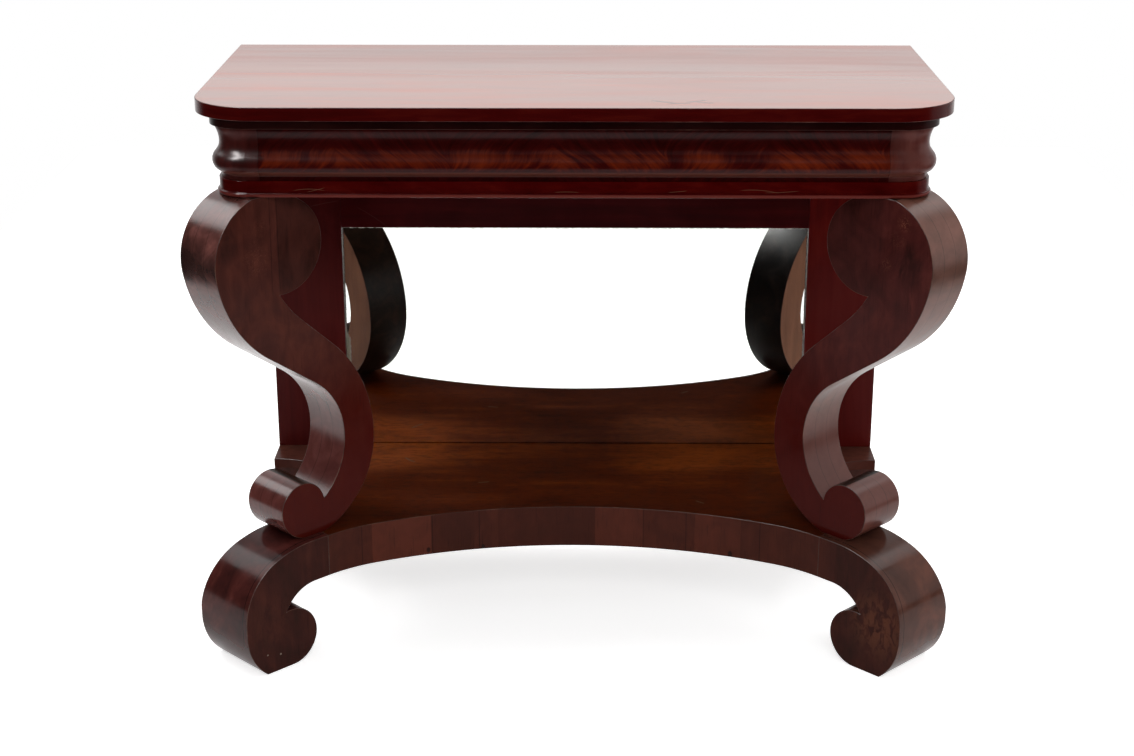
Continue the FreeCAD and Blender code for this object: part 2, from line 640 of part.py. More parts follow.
# ----------------------------------------------------------------------------------------------
# Scroll supports
# ----------------------------------------------------------------------------------------------
def scroll_outline(body):
    """The big S: seen from its front face, outwards along the mitre and up from the floor."""
    floor_up, head_up = size("shelf_height"), size("frieze_underside")

    toe = (-size("toe_eye_inset"), floor_up + size("toe_eye_rise"))
    toe_round, sole_round = size("toe_eye_radius"), size("toe_sole_radius")
    sole = (toe[0] + toe_round - sole_round, toe[1])
    sole_angle = -math.degrees(math.asin((toe[1] - floor_up) / sole_round))
    waist = (-size("waist_inset"), floor_up + size("waist_rise"))
    waist_round = size("waist_radius")
    crevice = crossing(toe, toe_round, waist, waist_round, 1)

    shoulder = (-size("shoulder_inset"), head_up - size("shoulder_drop"))
    shoulder_round = size("shoulder_radius")
    join = -math.degrees(math.asin(size("shoulder_join") / shoulder_round))
    joint = polar(shoulder, shoulder_round, join)
    back_round = swept_radius(joint, join, waist, waist_round, size("outer_straight"))
    back = polar(joint, -back_round, join)
    outer_turn = tangent_bearing(waist, waist_round, back, back_round)
    shoulder_top = math.degrees(math.asin((head_up - shoulder[1]) / shoulder_round))

    eye = (-size("head_eye_inset"), head_up - size("head_eye_drop"))
    eye_round, crown_round = size("head_eye_radius"), size("head_crown_radius")
    crown_drop = eye[1] - (head_up - crown_round)
    crown_across = eye[0] + math.sqrt((crown_round - eye_round)**2 - crown_drop**2)
    crown = (crown_across, head_up - crown_round)
    crown_turn = bearing(crown, eye)
    throat = (-size("throat_inset"), head_up - size("throat_drop"))
    throat_round = size("throat_radius")
    cusp = crossing(throat, throat_round, eye, eye_round, -1)
    cusp_turn = bearing(eye, cusp) % 360

    belly = (-size("belly_inset"), floor_up + size("belly_rise"))
    belly_round = size("belly_radius")
    heel_angle = 180 + math.degrees(math.asin((belly[1] - floor_up) / belly_round))
    side = polar(belly, belly_round, 180)
    flank_round = swept_radius(side, 180, throat, throat_round, size("inner_straight"))
    flank = polar(side, -flank_round, 180)
    inner_turn = tangent_bearing(flank, flank_round, throat, throat_round)

    face = Outline(body, "XZ_Plane", "scroll_outline")
    sole_flat = face.line(polar(belly, belly_round, heel_angle), polar(sole, sole_round, sole_angle))
    sole_arc = face.arc(sole, sole_round, sole_angle, 0)
    toe_arc = face.arc(toe, toe_round, 0, bearing(toe, crevice))
    waist_arc = face.arc(waist, waist_round, bearing(waist, crevice) % 360, outer_turn)
    outer_line = face.line(polar(waist, waist_round, outer_turn),
                           polar(back, -back_round, outer_turn))
    back_arc = face.arc(back, back_round, outer_turn - 180, join)
    shoulder_arc = face.arc(shoulder, shoulder_round, join, shoulder_top)
    head_flat = face.line(polar(shoulder, shoulder_round, shoulder_top), (crown[0], head_up))
    crown_arc = face.arc(crown, crown_round, AHEAD, crown_turn)
    eye_arc = face.arc(eye, eye_round, crown_turn, cusp_turn)
    throat_arc = face.arc(throat, throat_round, bearing(throat, cusp), inner_turn - 180)
    inner_line = face.line(polar(throat, -throat_round, inner_turn),
                           polar(flank, flank_round, inner_turn))
    flank_arc = face.arc(flank, flank_round, inner_turn, 180)
    belly_arc = face.arc(belly, belly_round, 180, heel_angle)
    face.close(smooth=[
        (sole_arc, toe_arc), (waist_arc, outer_line), (outer_line, back_arc),
        (back_arc, shoulder_arc), (head_flat, crown_arc), (crown_arc, eye_arc),
        (throat_arc, inner_line), (inner_line, flank_arc), (flank_arc, belly_arc)])
    face.rule("Horizontal", sole_flat)
    face.rule("Horizontal", head_flat)
    face.rule("Horizontal", sole_arc, CENTRE, toe_arc, CENTRE)
    face.rule("Horizontal", flank_arc, CENTRE, belly_arc, CENTRE)
    face.place(sole_flat, START, up="shelf_height")
    face.place(head_flat, START, up="frieze_underside")
    face.give("Distance", outer_line, to="outer_straight")
    face.give("Distance", inner_line, to="inner_straight")
    for index, name, level in (
        (toe_arc, "toe_eye", "shelf_height + toe_eye_rise"),
        (waist_arc, "waist", "shelf_height + waist_rise"),
        (belly_arc, "belly", "shelf_height + belly_rise"),
        (shoulder_arc, "shoulder", "frieze_underside - shoulder_drop"),
        (eye_arc, "head_eye", "frieze_underside - head_eye_drop"),
        (throat_arc, "throat", "frieze_underside - throat_drop"),
    ):
        face.place(index, CENTRE, across=f"-1 * {name}_inset", up=level)
        face.give("Radius", index, to=f"{name}_radius")
    face.give("Radius", sole_arc, to="toe_sole_radius")
    face.give("Radius", crown_arc, to="head_crown_radius")
    face.place(shoulder_arc, START, up="frieze_underside - shoulder_drop - shoulder_join")
    return face


def scrolls():
    """The two scrolls, with the dowels that fix them to the feet and to the frieze."""
    body = new_body("scroll_body")
    pad(body, scroll_outline(body), "scroll_thick", symmetric=True)
    on_mitre(body, "0", "scroll_shift")
    upper_hole = on_mitre(
        peg("scroll_head_hole", "0", "0", "0", "dowel_radius + fit_gap", "dowel_deep + fit_gap"),
        "head_dowel_inset", "scroll_shift", "frieze_underside - dowel_deep - fit_gap")
    lower_hole = on_mitre(
        peg("scroll_toe_hole", "0", "0", "0", "dowel_radius + fit_gap", "dowel_deep + fit_gap"),
        "foot_dowel_inset", "scroll_shift", "shelf_height")
    pair("scroll", cut("scroll_bored", body, upper_hole, lower_hole))
    dowels = [
        on_mitre(peg("head_dowel", "0", "0", "0", "dowel_radius", "2 * dowel_deep"),
                 "head_dowel_inset", "scroll_shift", "frieze_underside - dowel_deep"),
        on_mitre(peg("toe_dowel", "0", "0", "0", "dowel_radius", "2 * dowel_deep"),
                 "foot_dowel_inset", "scroll_shift", "shelf_height - dowel_deep")]
    dowels += [twin(dowel.Name + "_left", dowel) for dowel in dowels]
    group("scroll_dowels", dowels)


# ----------------------------------------------------------------------------------------------
# Base
# ----------------------------------------------------------------------------------------------
def foot_outline(body):
    """A front foot: a thick C that runs out of the rails and curls under on the floor."""
    high, low = size("shelf_height"), size("rail_low")
    joint = -size("arm_joint_inset")
    reach = -size("foot_reach_inset")
    flat_end = -size("foot_flat_inset")
    upper_round, lower_round = size("foot_upper_radius"), size("foot_lower_radius")
    crown_drop = size("foot_crown_drop")
    upper = (reach - upper_round, high - crown_drop - upper_round)
    lower = (reach - lower_round, size("foot_lower_rise"))
    run = upper[0] - flat_end
    brow_round = (run**2 + (crown_drop + upper_round)**2 - upper_round**2) / (2 * crown_drop)
    brow = (flat_end, high - brow_round)
    brow_turn = bearing(brow, upper)
    toe_angle = -math.degrees(math.asin(lower[1] / lower_round))
    eye_round, arch_round = size("foot_eye_radius"), size("foot_arch_radius")
    eye = (-size("foot_eye_inset"), eye_round)
    arch = (-size("foot_arch_inset"), low - arch_round)
    crevice = crossing(arch, arch_round, eye, eye_round, 1)

    face = Outline(body, "XZ_Plane", "foot_outline")
    under = face.line((joint, low), (arch[0], low))
    arch_arc = face.arc(arch, arch_round, AHEAD, bearing(arch, crevice))
    eye_arc = face.arc(eye, eye_round, bearing(eye, crevice), 270)
    sole = face.line((eye[0], 0), polar(lower, lower_round, toe_angle))
    lower_arc = face.arc(lower, lower_round, toe_angle, 0)
    front = face.line((reach, lower[1]), (reach, upper[1]))
    upper_arc = face.arc(upper, upper_round, 0, brow_turn)
    brow_arc = face.arc(brow, brow_round, brow_turn, AHEAD)
    flat = face.line((flat_end, high), (joint, high))
    end = face.line((joint, high), (joint, low))
    face.close(smooth=[(under, arch_arc), (eye_arc, sole), (lower_arc, front), (front, upper_arc),
                       (upper_arc, brow_arc), (brow_arc, flat)])
    for index in (under, sole, flat):
        face.rule("Horizontal", index)
    for index in (front, end):
        face.rule("Vertical", index)
    face.place(end, END, across="-1 * arm_joint_inset", up="rail_low")
    face.place(flat, START, across="-1 * foot_flat_inset", up="shelf_height")
    face.place(arch_arc, CENTRE, across="-1 * foot_arch_inset")
    face.give("Radius", arch_arc, to="foot_arch_radius")
    face.place(eye_arc, CENTRE, across="-1 * foot_eye_inset")
    face.give("Radius", eye_arc, to="foot_eye_radius")
    face.place(sole, START, up="0")
    face.give("Radius", lower_arc, to="foot_lower_radius")
    face.place(front, START, across="-1 * foot_reach_inset", up="foot_lower_rise")
    face.place(front, END, up="foot_lower_rise + foot_straight")
    face.give("Radius", upper_arc, to="foot_upper_radius")
    return face


def lean_back(body):
    """Planes a foot's back face so that it leans in towards the thinner arm."""
    thin, thick = size("arm_thick"), size("foot_thick")
    high, low = size("shelf_height"), size("foot_full_height")
    wedge = Outline(body, "YZ_Plane", "foot_lean")
    top = wedge.line((thick, high), (thin, high))
    wedge.line((thin, high), (thick, low))
    back = wedge.line((thick, low), (thick, high))
    wedge.close()
    wedge.rule("Horizontal", top)
    wedge.rule("Vertical", back)
    wedge.place(top, START, across="foot_thick", up="shelf_height")
    wedge.place(top, END, across="arm_thick")
    wedge.place(back, START, up="foot_full_height")
    doc.recompute()
    planed = body.newObject("PartDesign::Pocket", "foot_planed")
    planed.Profile = wedge.sketch
    planed.Type = "ThroughAll"


def sweep_centres():
    """The centres and radii of the front's middle arc and of its right-hand outer arc."""
    middle_round, outer_round = size("sweep_middle_radius"), size("sweep_outer_radius")
    middle = (0, size("sweep_apex") - middle_round)
    outer = polar(middle, middle_round - outer_round, AHEAD - size("sweep_turn"))
    return middle, middle_round, outer, outer_round


def tie_sweep(face, middle_arc, outer_arc, end_line):
    """Sizes the front's two arcs: they meet the foot's face squarely at the joint."""
    face.place(middle_arc, CENTRE, across="0")
    face.place(middle_arc, END, across="0", up="sweep_apex")
    face.give("Radius", middle_arc, to="sweep_middle_radius")
    face.rule("PointOnObject", outer_arc, CENTRE, end_line)


def shelf():
    """The shelf board, cut hollow in front and between its wings and its arms."""
    middle, middle_round, outer, outer_round = sweep_centres()
    turn = AHEAD - size("sweep_turn")
    joint_front = (size("joint_front_across"), size("joint_front_along"))
    joint_back = (size("joint_back_across"), size("joint_back_along"))
    wall, wing, half = size("wall"), size("wing_edge"), size("half_base")
    hollow = size("wing_hollow")
    mitre_sum = joint_back[0] + joint_back[1]
    hollow_centre = (mitre_sum + hollow * math.sqrt(2) - (wing - hollow), wing - hollow)

    body = new_body("shelf_body")
    plan = Outline(body, "XY_Plane", "shelf_plan")
    centre_line = plan.line((0, wall), (0, size("sweep_apex")))
    middle_arc = plan.arc(middle, middle_round, AHEAD, turn)
    outer_arc = plan.arc(outer, outer_round, turn, MITRE)
    joint = plan.line(joint_front, joint_back)
    arm = plan.line(joint_back, polar(hollow_centre, hollow, MITRE_INWARD))
    hollow_arc = plan.arc(hollow_centre, hollow, MITRE_INWARD, AHEAD)
    wing_line = plan.line((hollow_centre[0], wing), (half, wing))
    side = plan.line((half, wing), (half, wall))
    rear = plan.line((half, wall), (0, wall))
    plan.close(smooth=[(middle_arc, outer_arc), (arm, hollow_arc), (hollow_arc, wing_line)])
    for index in (wing_line, rear):
        plan.rule("Horizontal", index)
    for index in (centre_line, side):
        plan.rule("Vertical", index)
    tie_sweep(plan, middle_arc, outer_arc, joint)
    plan.place(joint, START, across="joint_front_across", up="joint_front_along")
    plan.place(joint, END, across="joint_back_across", up="joint_back_along")
    plan.rule("Perpendicular", arm, joint)
    plan.give("Radius", hollow_arc, to="wing_hollow")
    plan.place(side, START, across="half_base", up="wing_edge")
    plan.place(rear, END, up="wall")
    half_board = pad(body, plan, "shelf_thick")
    bind(body, Placement__Base__z="shelf_low")
    whole = body.newObject("PartDesign::Mirrored", "shelf_whole")
    whole.Originals = [half_board]
    whole.MirrorPlane = (plan.sketch, ["V_Axis"])
    body.Tip = whole
    keep("shelf_board", body)


def front_rail():
    """The curved front rail, as thick all along, between the two feet."""
    middle, middle_round, outer, outer_round = sweep_centres()
    turn, thick = AHEAD - size("sweep_turn"), size("front_rail_thick")
    joint_front = (size("joint_front_across"), size("joint_front_along"))
    joint_back = polar(joint_front, thick, MITRE)
    body = new_body("front_rail_body")
    plan = Outline(body, "XY_Plane", "front_rail_plan")
    apex = size("sweep_apex")
    centre_line = plan.line((0, apex + thick), (0, apex))
    middle_arc = plan.arc(middle, middle_round, AHEAD, turn)
    outer_arc = plan.arc(outer, outer_round, turn, MITRE)
    end = plan.line(joint_front, joint_back)
    outer_back = plan.arc(outer, outer_round + thick, MITRE, turn)
    middle_back = plan.arc(middle, middle_round + thick, turn, AHEAD)
    plan.close(smooth=[(middle_arc, outer_arc), (outer_back, middle_back)])
    plan.rule("Vertical", centre_line)
    tie_sweep(plan, middle_arc, outer_arc, end)
    plan.place(end, START, across="joint_front_across", up="joint_front_along")
    plan.place(end, END, across="joint_front_across + front_rail_thick * sqrt(0.5)",
               up="joint_front_along + front_rail_thick * sqrt(0.5)")
    plan.rule("Coincident", outer_back, CENTRE, outer_arc, CENTRE)
    plan.rule("Coincident", middle_back, CENTRE, middle_arc, CENTRE)
    half_rail = pad(body, plan, "rail_tall")
    bind(body, Placement__Base__z="rail_low")
    whole = body.newObject("PartDesign::Mirrored", "front_rail_whole")
    whole.Originals = [half_rail]
    whole.MirrorPlane = (plan.sketch, ["V_Axis"])
    body.Tip = whole
    keep("base_front_rail", body)


def side_rails():
    """The rails that follow the hollows between the arms and the wings."""
    thick, hollow, wing = size("side_rail_thick"), size("wing_hollow"), size("wing_edge")
    joint_back = (size("joint_back_across"), size("joint_back_along"))
    joint_inner = polar(joint_back, thick, MITRE_INWARD)
    mitre_sum = joint_back[0] + joint_back[1]
    centre = (mitre_sum + hollow * math.sqrt(2) - (wing - hollow), wing - hollow)
    foot = size("rear_foot_inner")
    body = new_body("side_rail_body")
    plan = Outline(body, "XY_Plane", "side_rail_plan")
    joint = plan.line(joint_inner, joint_back)
    arm = plan.line(joint_back, polar(centre, hollow, MITRE_INWARD))
    hollow_arc = plan.arc(centre, hollow, MITRE_INWARD, AHEAD)
    wing_line = plan.line((centre[0], wing), (foot, wing))
    end = plan.line((foot, wing), (foot, wing + thick))
    wing_back = plan.line((foot, wing + thick), (centre[0], wing + thick))
    hollow_back = plan.arc(centre, hollow + thick, AHEAD, MITRE_INWARD)
    arm_back = plan.line(polar(centre, hollow + thick, MITRE_INWARD), joint_inner)
    plan.close(smooth=[(arm, hollow_arc), (hollow_arc, wing_line), (wing_back, hollow_back),
                       (hollow_back, arm_back)])
    plan.place(joint, START, across="joint_back_across - side_rail_thick * sqrt(0.5)",
               up="joint_back_along - side_rail_thick * sqrt(0.5)")
    plan.place(joint, END, across="joint_back_across", up="joint_back_along")
    for index in (arm, arm_back):
        plan.rule("Perpendicular", index, joint)
    for index in (wing_line, wing_back):
        plan.rule("Horizontal", index)
    plan.rule("Vertical", end)
    plan.place(end, START, across="rear_foot_inner", up="wing_edge")
    plan.place(end, END, up="wing_edge + side_rail_thick")
    plan.give("Radius", hollow_arc, to="wing_hollow")
    plan.give("Radius", hollow_back, to="wing_hollow + side_rail_thick")
    pad(body, plan, "rail_tall")
    bind(body, Placement__Base__z="rail_low")
    pair("base_side_rail", body)


def base():
    """The shelf, its rails and its feet."""
    shelf()
    front_rail()
    side_rails()
    foot = new_body("foot_body")
    pad(foot, foot_outline(foot), "foot_thick", reversed_way=True)
    lean_back(foot)
    on_mitre(foot, "0", "arm_front")
    hole = on_mitre(
        peg("foot_hole", "0", "0", "0", "dowel_radius + fit_gap", "dowel_deep + fit_gap"),
        "foot_dowel_inset", "scroll_shift", "shelf_height - dowel_deep - fit_gap")
    pair("front_foot", cut("front_foot_bored", foot, hole))
    block = doc.addObject("Part::Box", "arm_block_box")
    bind(block, Length="arm_block_long", Height="rail_tall",
         Width="arm_thick - front_rail_thick - side_rail_thick")
    on_mitre(block, "arm_joint_inset + arm_block_long", "arm_front - front_rail_thick", "rail_low")
    pair("arm_block", block)
    pair("rear_foot", board("rear_foot_block", "rear_foot_inner", "wing_edge", "0",
                            "rear_foot_wide", "wing_depth - back_rail_thick", "shelf_low"))
    keep("base_back_rail", board("base_back_rail_board", "-1 * half_base",
                                 "wall - back_rail_thick", "rail_low", "base_width",
                                 "back_rail_thick", "rail_tall"))


# ----------------------------------------------------------------------------------------------
# Mirrored back
# ----------------------------------------------------------------------------------------------
def mirrored_back():
    """Two rebated pilasters and a tenoned rail round the glass, closed by boards behind."""
    behind = "wall - glass_face"
    pilaster = board("pilaster_board", "pilaster_inner", "pilaster_face", "shelf_height",
                     "pilaster_wide", "pilaster_thick", "pilaster_tall")
    rebate = board("pilaster_rebate", "pilaster_inner", "glass_face", "shelf_height",
                   "rebate_wide", behind, "glass_top + glass_play - shelf_height")
    tenon_along = "pilaster_face + glass_setback / 2"
    tenon_tall = "mirror_rail_tall - 2 * tenon_shoulder"
    mortise = board("mortise", "pilaster_inner", tenon_along + " - fit_gap",
                    "mirror_rail_low + tenon_shoulder - fit_gap", "rail_tenon + fit_gap",
                    "tenon_thick + 2 * fit_gap", tenon_tall + " + 2 * fit_gap")
    pair("pilaster", cut("pilaster_cut", pilaster, rebate, mortise))
    rail = board("mirror_rail_board", "-1 * pilaster_inner", "pilaster_face", "mirror_rail_low",
                 "2 * pilaster_inner", "pilaster_thick", "mirror_rail_tall")
    rail_rebate = board("mirror_rail_rebate", "-1 * pilaster_inner", "glass_face",
                        "mirror_rail_low", "2 * pilaster_inner", behind, "rebate_wide")
    tenon = board("mirror_rail_tenon", "-1 * pilaster_inner - rail_tenon", tenon_along,
                  "mirror_rail_low + tenon_shoulder", "2 * (pilaster_inner + rail_tenon)",
                  "tenon_thick", tenon_tall)
    keep("mirror_rail", joined("mirror_rail_whole", cut("mirror_rail_cut", rail, rail_rebate), tenon))
    keep("mirror_glass", board("mirror_plate", "-1 * glass_half", "glass_face", "shelf_height",
                               "2 * glass_half", "glass_thick", "glass_top - shelf_height"))
    third = "(2 * glass_half - 2 * glass_play) / 3"
    boards = [
        board(f"backboard_{count}", f"-1 * glass_half + {count} * ({third} + glass_play)",
              "backboard_face", "shelf_height", third, "backboard_thick",
              "glass_top - shelf_height")
        for count in range(3)]
    group("mirror_backboards", boards)
    upright = board("strip_upright", "rebate_half - strip_side", "strip_face", "shelf_height",
                    "strip_side", "strip_side", "glass_top - shelf_height")
    level = board("strip_level", "-1 * rebate_half + strip_side", "strip_face",
                  "glass_top - strip_side", "2 * (rebate_half - strip_side)", "strip_side",
                  "strip_side")
    group("mirror_strips", [upright, twin("strip_upright_left", upright), level])
    keep("mirror_stop_rail", board("stop_rail_board", "-1 * rebate_half + strip_side",
                                   "strip_face", "shelf_height",
                                   "2 * (rebate_half - strip_side)", "wall - strip_face",
                                   "stop_rail_tall"))


# ----------------------------------------------------------------------------------------------
# Build, check and write
# ----------------------------------------------------------------------------------------------
top_and_frame()
frieze()
scrolls()
base()
mirrored_back()
doc.recompute()

for thing in doc.Objects:
    if "Invalid" in thing.State or "Error" in thing.State:
        raise RuntimeError(f"{thing.Name} failed: {thing.State}")
for name, thing in nodes.items():
    if thing.Shape.isNull() or not thing.Shape.isValid() or not thing.Shape.Solids:
        raise RuntimeError(f"{name} has no sound shape")

os.makedirs("parts", exist_ok=True)
for name, thing in nodes.items():
    thing.Shape.exportStep(os.path.join("parts", name + ".step"))
print(len(nodes), "sub-parts written")
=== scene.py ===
"""A mahogany pier table: scrolls on a shaped base, a mirrored back and a moulded frieze."""
import math

import bmesh
import bpy
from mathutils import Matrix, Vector


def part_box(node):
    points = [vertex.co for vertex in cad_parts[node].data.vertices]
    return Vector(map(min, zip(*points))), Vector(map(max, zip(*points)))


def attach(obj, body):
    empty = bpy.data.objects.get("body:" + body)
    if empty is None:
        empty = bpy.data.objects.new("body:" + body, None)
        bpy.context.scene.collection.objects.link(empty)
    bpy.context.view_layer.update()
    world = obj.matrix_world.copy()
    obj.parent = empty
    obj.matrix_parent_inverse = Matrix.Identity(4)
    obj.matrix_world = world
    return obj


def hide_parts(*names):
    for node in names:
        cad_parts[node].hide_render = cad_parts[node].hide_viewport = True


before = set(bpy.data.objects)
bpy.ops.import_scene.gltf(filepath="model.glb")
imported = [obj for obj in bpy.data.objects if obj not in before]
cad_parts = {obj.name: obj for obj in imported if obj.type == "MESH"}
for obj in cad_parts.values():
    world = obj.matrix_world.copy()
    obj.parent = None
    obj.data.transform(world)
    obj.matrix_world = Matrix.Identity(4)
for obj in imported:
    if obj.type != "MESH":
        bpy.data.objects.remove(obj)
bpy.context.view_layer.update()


# ----------------------------------------------------------------------------------------------
# Camera: a long lens at standing height, square to the table's front and looking a little down
# ----------------------------------------------------------------------------------------------
EYE = Vector((0.01364, -3.02657, 1.46662))
LOOK_DOWN = math.radians(19.3894)
LOOK_ASIDE = math.radians(-0.47204)
LENS = 63.84

lens = bpy.data.cameras.new("camera")
lens.sensor_width = 36
lens.lens = LENS
lens.clip_end = 100
camera = bpy.data.objects.new("camera", lens)
camera.location = EYE
sight = Vector((math.sin(LOOK_ASIDE) * math.cos(LOOK_DOWN),
                math.cos(LOOK_ASIDE) * math.cos(LOOK_DOWN), -math.sin(LOOK_DOWN)))
camera.rotation_euler = sight.to_track_quat("-Z", "Y").to_euler()
bpy.context.collection.objects.link(camera)
bpy.context.scene.camera = camera
bpy.context.scene.view_settings.view_transform = "Standard"


# ----------------------------------------------------------------------------------------------
# Room: white where it is looked at or seen low in the mirror, dim in front of the table and
# bright behind and above it for the polish, and a soft even fill for all the rest
# ----------------------------------------------------------------------------------------------
class Reading:
    """What is read at each point of a surface: a number, a colour or a direction."""

    def __init__(self, tree, socket=None):
        self.tree = tree
        self.socket = socket

    def node(self, kind, settings=None, entries=None, out=0):
        """Adds a node with its settings, then its entries, and reads one of its outputs."""
        made = self.tree.nodes.new(kind)
        for name, value in (settings or {}).items():
            if name == "stops":
                stops = made.color_ramp.elements
                for place, _ in value[2:]:
                    stops.new(place)
                for stop, (place, colour) in zip(stops, value):
                    stop.position = place
                    stop.color = (*colour, 1)
            else:
                setattr(made, name, value)
        for name, value in (entries or {}).items():
            if isinstance(value, Reading):
                self.tree.links.new(value.socket, made.inputs[name])
            else:
                made.inputs[name].default_value = value
        return Reading(self.tree, made.outputs[out] if made.outputs else None)

    def maths(self, operation, *others):
        """One step of a sum, with this value first."""
        return self.node("ShaderNodeMath", {"operation": operation},
                         dict(enumerate((self, *others))))

    def __add__(self, other):
        return self.maths("ADD", other)

    def __sub__(self, other):
        return self.maths("SUBTRACT", other)

    def __rsub__(self, other):
        return self.node("ShaderNodeMath", {"operation": "SUBTRACT"}, {0: other, 1: self})

    def __mul__(self, other):
        return self.maths("MULTIPLY", other)

    def __pow__(self, other):
        return self.maths("POWER", other)

    def __abs__(self):
        return self.maths("ABSOLUTE")

    __radd__ = __add__
    __rmul__ = __mul__

    def axes(self):
        """Its three parts, along X, Y and Z."""
        parts = self.node("ShaderNodeSeparateXYZ", entries={"Vector": self})
        return [Reading(self.tree, part) for part in parts.socket.node.outputs]


def soften(value, low, high, start=0.0, end=1.0):
    """Eases a value from start to end between two limits."""
    return value.node("ShaderNodeMapRange", {"interpolation_type": "SMOOTHSTEP"}, {
        "Value": value, "From Min": low, "From Max": high, "To Min": start, "To Max": end})


ROOM_FILL = 0.34
FRONT_GLOW = 0.02
REAR_GLOW = 1.25
HIGH_GLOW = 0.35
GLASS_LOSS = 1.25
REAR_SPREAD = (0.35, 0.80)
HIGH_SPREAD = (0.45, 0.75)
LOW_SPREAD = (0.02, 0.16)

room = bpy.data.worlds.new("room")
room.use_nodes = True
room.node_tree.nodes.clear()
bpy.context.scene.world = room
air = Reading(room.node_tree)
_, ahead, aloft = air.node("ShaderNodeTexCoord", out="Generated").axes()
rear = soften(ahead, *REAR_SPREAD, FRONT_GLOW, REAR_GLOW)
glow = rear.maths("MAXIMUM", soften(aloft, *HIGH_SPREAD, 0.0, HIGH_GLOW))
low = soften(aloft, *LOW_SPREAD, 1.0, 0.0)
looked_at = air.node("ShaderNodeLightPath", out="Is Camera Ray")
through = air.node("ShaderNodeLightPath", out="Is Transmission Ray")
polish = air.node("ShaderNodeLightPath", out="Is Glossy Ray").maths("MAXIMUM", through)
low_glass = through * low
seen = looked_at.maths("MAXIMUM", low_glass)
white = looked_at.maths("MAXIMUM", low_glass * GLASS_LOSS)
strength = white + (1 - seen) * (polish * glow + (1 - polish) * ROOM_FILL)
sky = air.node("ShaderNodeBackground", entries={"Color": (1, 1, 1, 1), "Strength": strength})
air.node("ShaderNodeOutputWorld", entries={"Surface": sky})


# ----------------------------------------------------------------------------------------------
# Paper: a sheet of white paper under the table, which keeps its soft shadow and shows white in
# the mirror and the polish
# ----------------------------------------------------------------------------------------------
PAPER_HALF = 1.6
PAPER_FRONT = -1.15
PAPER_BACK = 3.4
PAPER_TONE = (0.85, 0.85, 0.85, 1)
PAPER_LIFT = 0.70
POLISH_LIFT = 0.65


def surface(name):
    """A new material with no shader yet, and the place of each point on it."""
    finish = bpy.data.materials.new(name)
    finish.use_nodes = True
    finish.node_tree.nodes.clear()
    return finish, Reading(finish.node_tree).node("ShaderNodeTexCoord", out="Object")


paper_finish, base = surface("paper")
flat = base.node("ShaderNodeBsdfDiffuse", entries={"Color": PAPER_TONE})
lift = base.node("ShaderNodeEmission", entries={"Color": (1, 1, 1, 1), "Strength": PAPER_LIFT})
lifted = base.node("ShaderNodeAddShader", entries={0: flat, 1: lift})
looked_at = base.node("ShaderNodeLightPath", out="Is Camera Ray")
through = base.node("ShaderNodeLightPath", out="Is Transmission Ray")
polish = base.node("ShaderNodeLightPath", out="Is Glossy Ray")
seen = looked_at.maths("MAXIMUM", through).maths("MAXIMUM", polish * POLISH_LIFT)
shown = base.node("ShaderNodeMixShader", entries={0: seen, 1: flat, 2: lifted})
base.node("ShaderNodeOutputMaterial", entries={"Surface": shown})

sheet = bpy.data.meshes.new("paper")
sheet.from_pydata([(-PAPER_HALF, PAPER_FRONT, 0), (PAPER_HALF, PAPER_FRONT, 0),
                   (PAPER_HALF, PAPER_BACK, 0), (-PAPER_HALF, PAPER_BACK, 0)], [], [(0, 1, 2, 3)])
sheet.materials.append(paper_finish)
paper = bpy.data.objects.new("paper", sheet)
bpy.context.collection.objects.link(paper)


# ----------------------------------------------------------------------------------------------
# Lamps: broad soft boxes overhead, on the left and, low and high, on the right; one in front that
# the polish doesn't show, and one by the left front corner that only the polish shows
# ----------------------------------------------------------------------------------------------
def soft_box(name, place, towards, wide, tall, watts, in_polish=True, in_colour=True):
    """A rectangular soft box that faces a point, and may be kept to the polish or out of it."""
    lamp = bpy.data.lights.new(name, "AREA")
    lamp.shape = "RECTANGLE"
    lamp.size = wide
    lamp.size_y = tall
    lamp.energy = watts
    box = bpy.data.objects.new(name, lamp)
    box.location = place
    box.rotation_euler = (Vector(towards) - Vector(place)).to_track_quat("-Z", "Y").to_euler()
    box.visible_diffuse = in_colour
    box.visible_glossy = in_polish
    box.visible_transmission = in_polish
    bpy.context.collection.objects.link(box)


SHELF_MIDDLE = (0, 0, 0.5)
UNDER_FRIEZE = (0, 0, 0.6)
LEFT_CORNER = (-0.48, -0.2, 0.81)
soft_box("overhead", (0, 0.4, 3.1), SHELF_MIDDLE, wide=3.2, tall=2.0, watts=62)
soft_box("left_box", (-2.9, 1.35, 2.6), SHELF_MIDDLE, wide=1.6, tall=1.2, watts=26)
soft_box("right_box", (2.9, 0.1, 1.2), UNDER_FRIEZE, wide=2.2, tall=2.2, watts=18)
soft_box("right_high_box", (2.7, 2.0, 3.0), UNDER_FRIEZE, wide=1.2, tall=1.2, watts=12)
soft_box("front_box", (0.6, -3.7, 3.0), SHELF_MIDDLE, wide=2.6, tall=1.2, watts=40,
         in_polish=False)
soft_box("corner_box", (-1.64, -1.11, 3.1), LEFT_CORNER, wide=0.6, tall=2.2, watts=420,
         in_colour=False)


# ----------------------------------------------------------------------------------------------
# Base rails: the front rail is sawn to the sweep and veneered in upright leaves, each of its own
# tone, with dark joints between them; the side rails follow the hollow between arm and wing. They
# are glued under the shelf and flush with its edge, so that the veneer runs over both
# ----------------------------------------------------------------------------------------------
ARRIS = 0.0008
ARRIS_TURN = math.radians(25)
WELD = 0.00001
FLAT_TURN = math.radians(0.6)
SHELLAC = 0.27
RELIEF_DEPTH = 0.00003

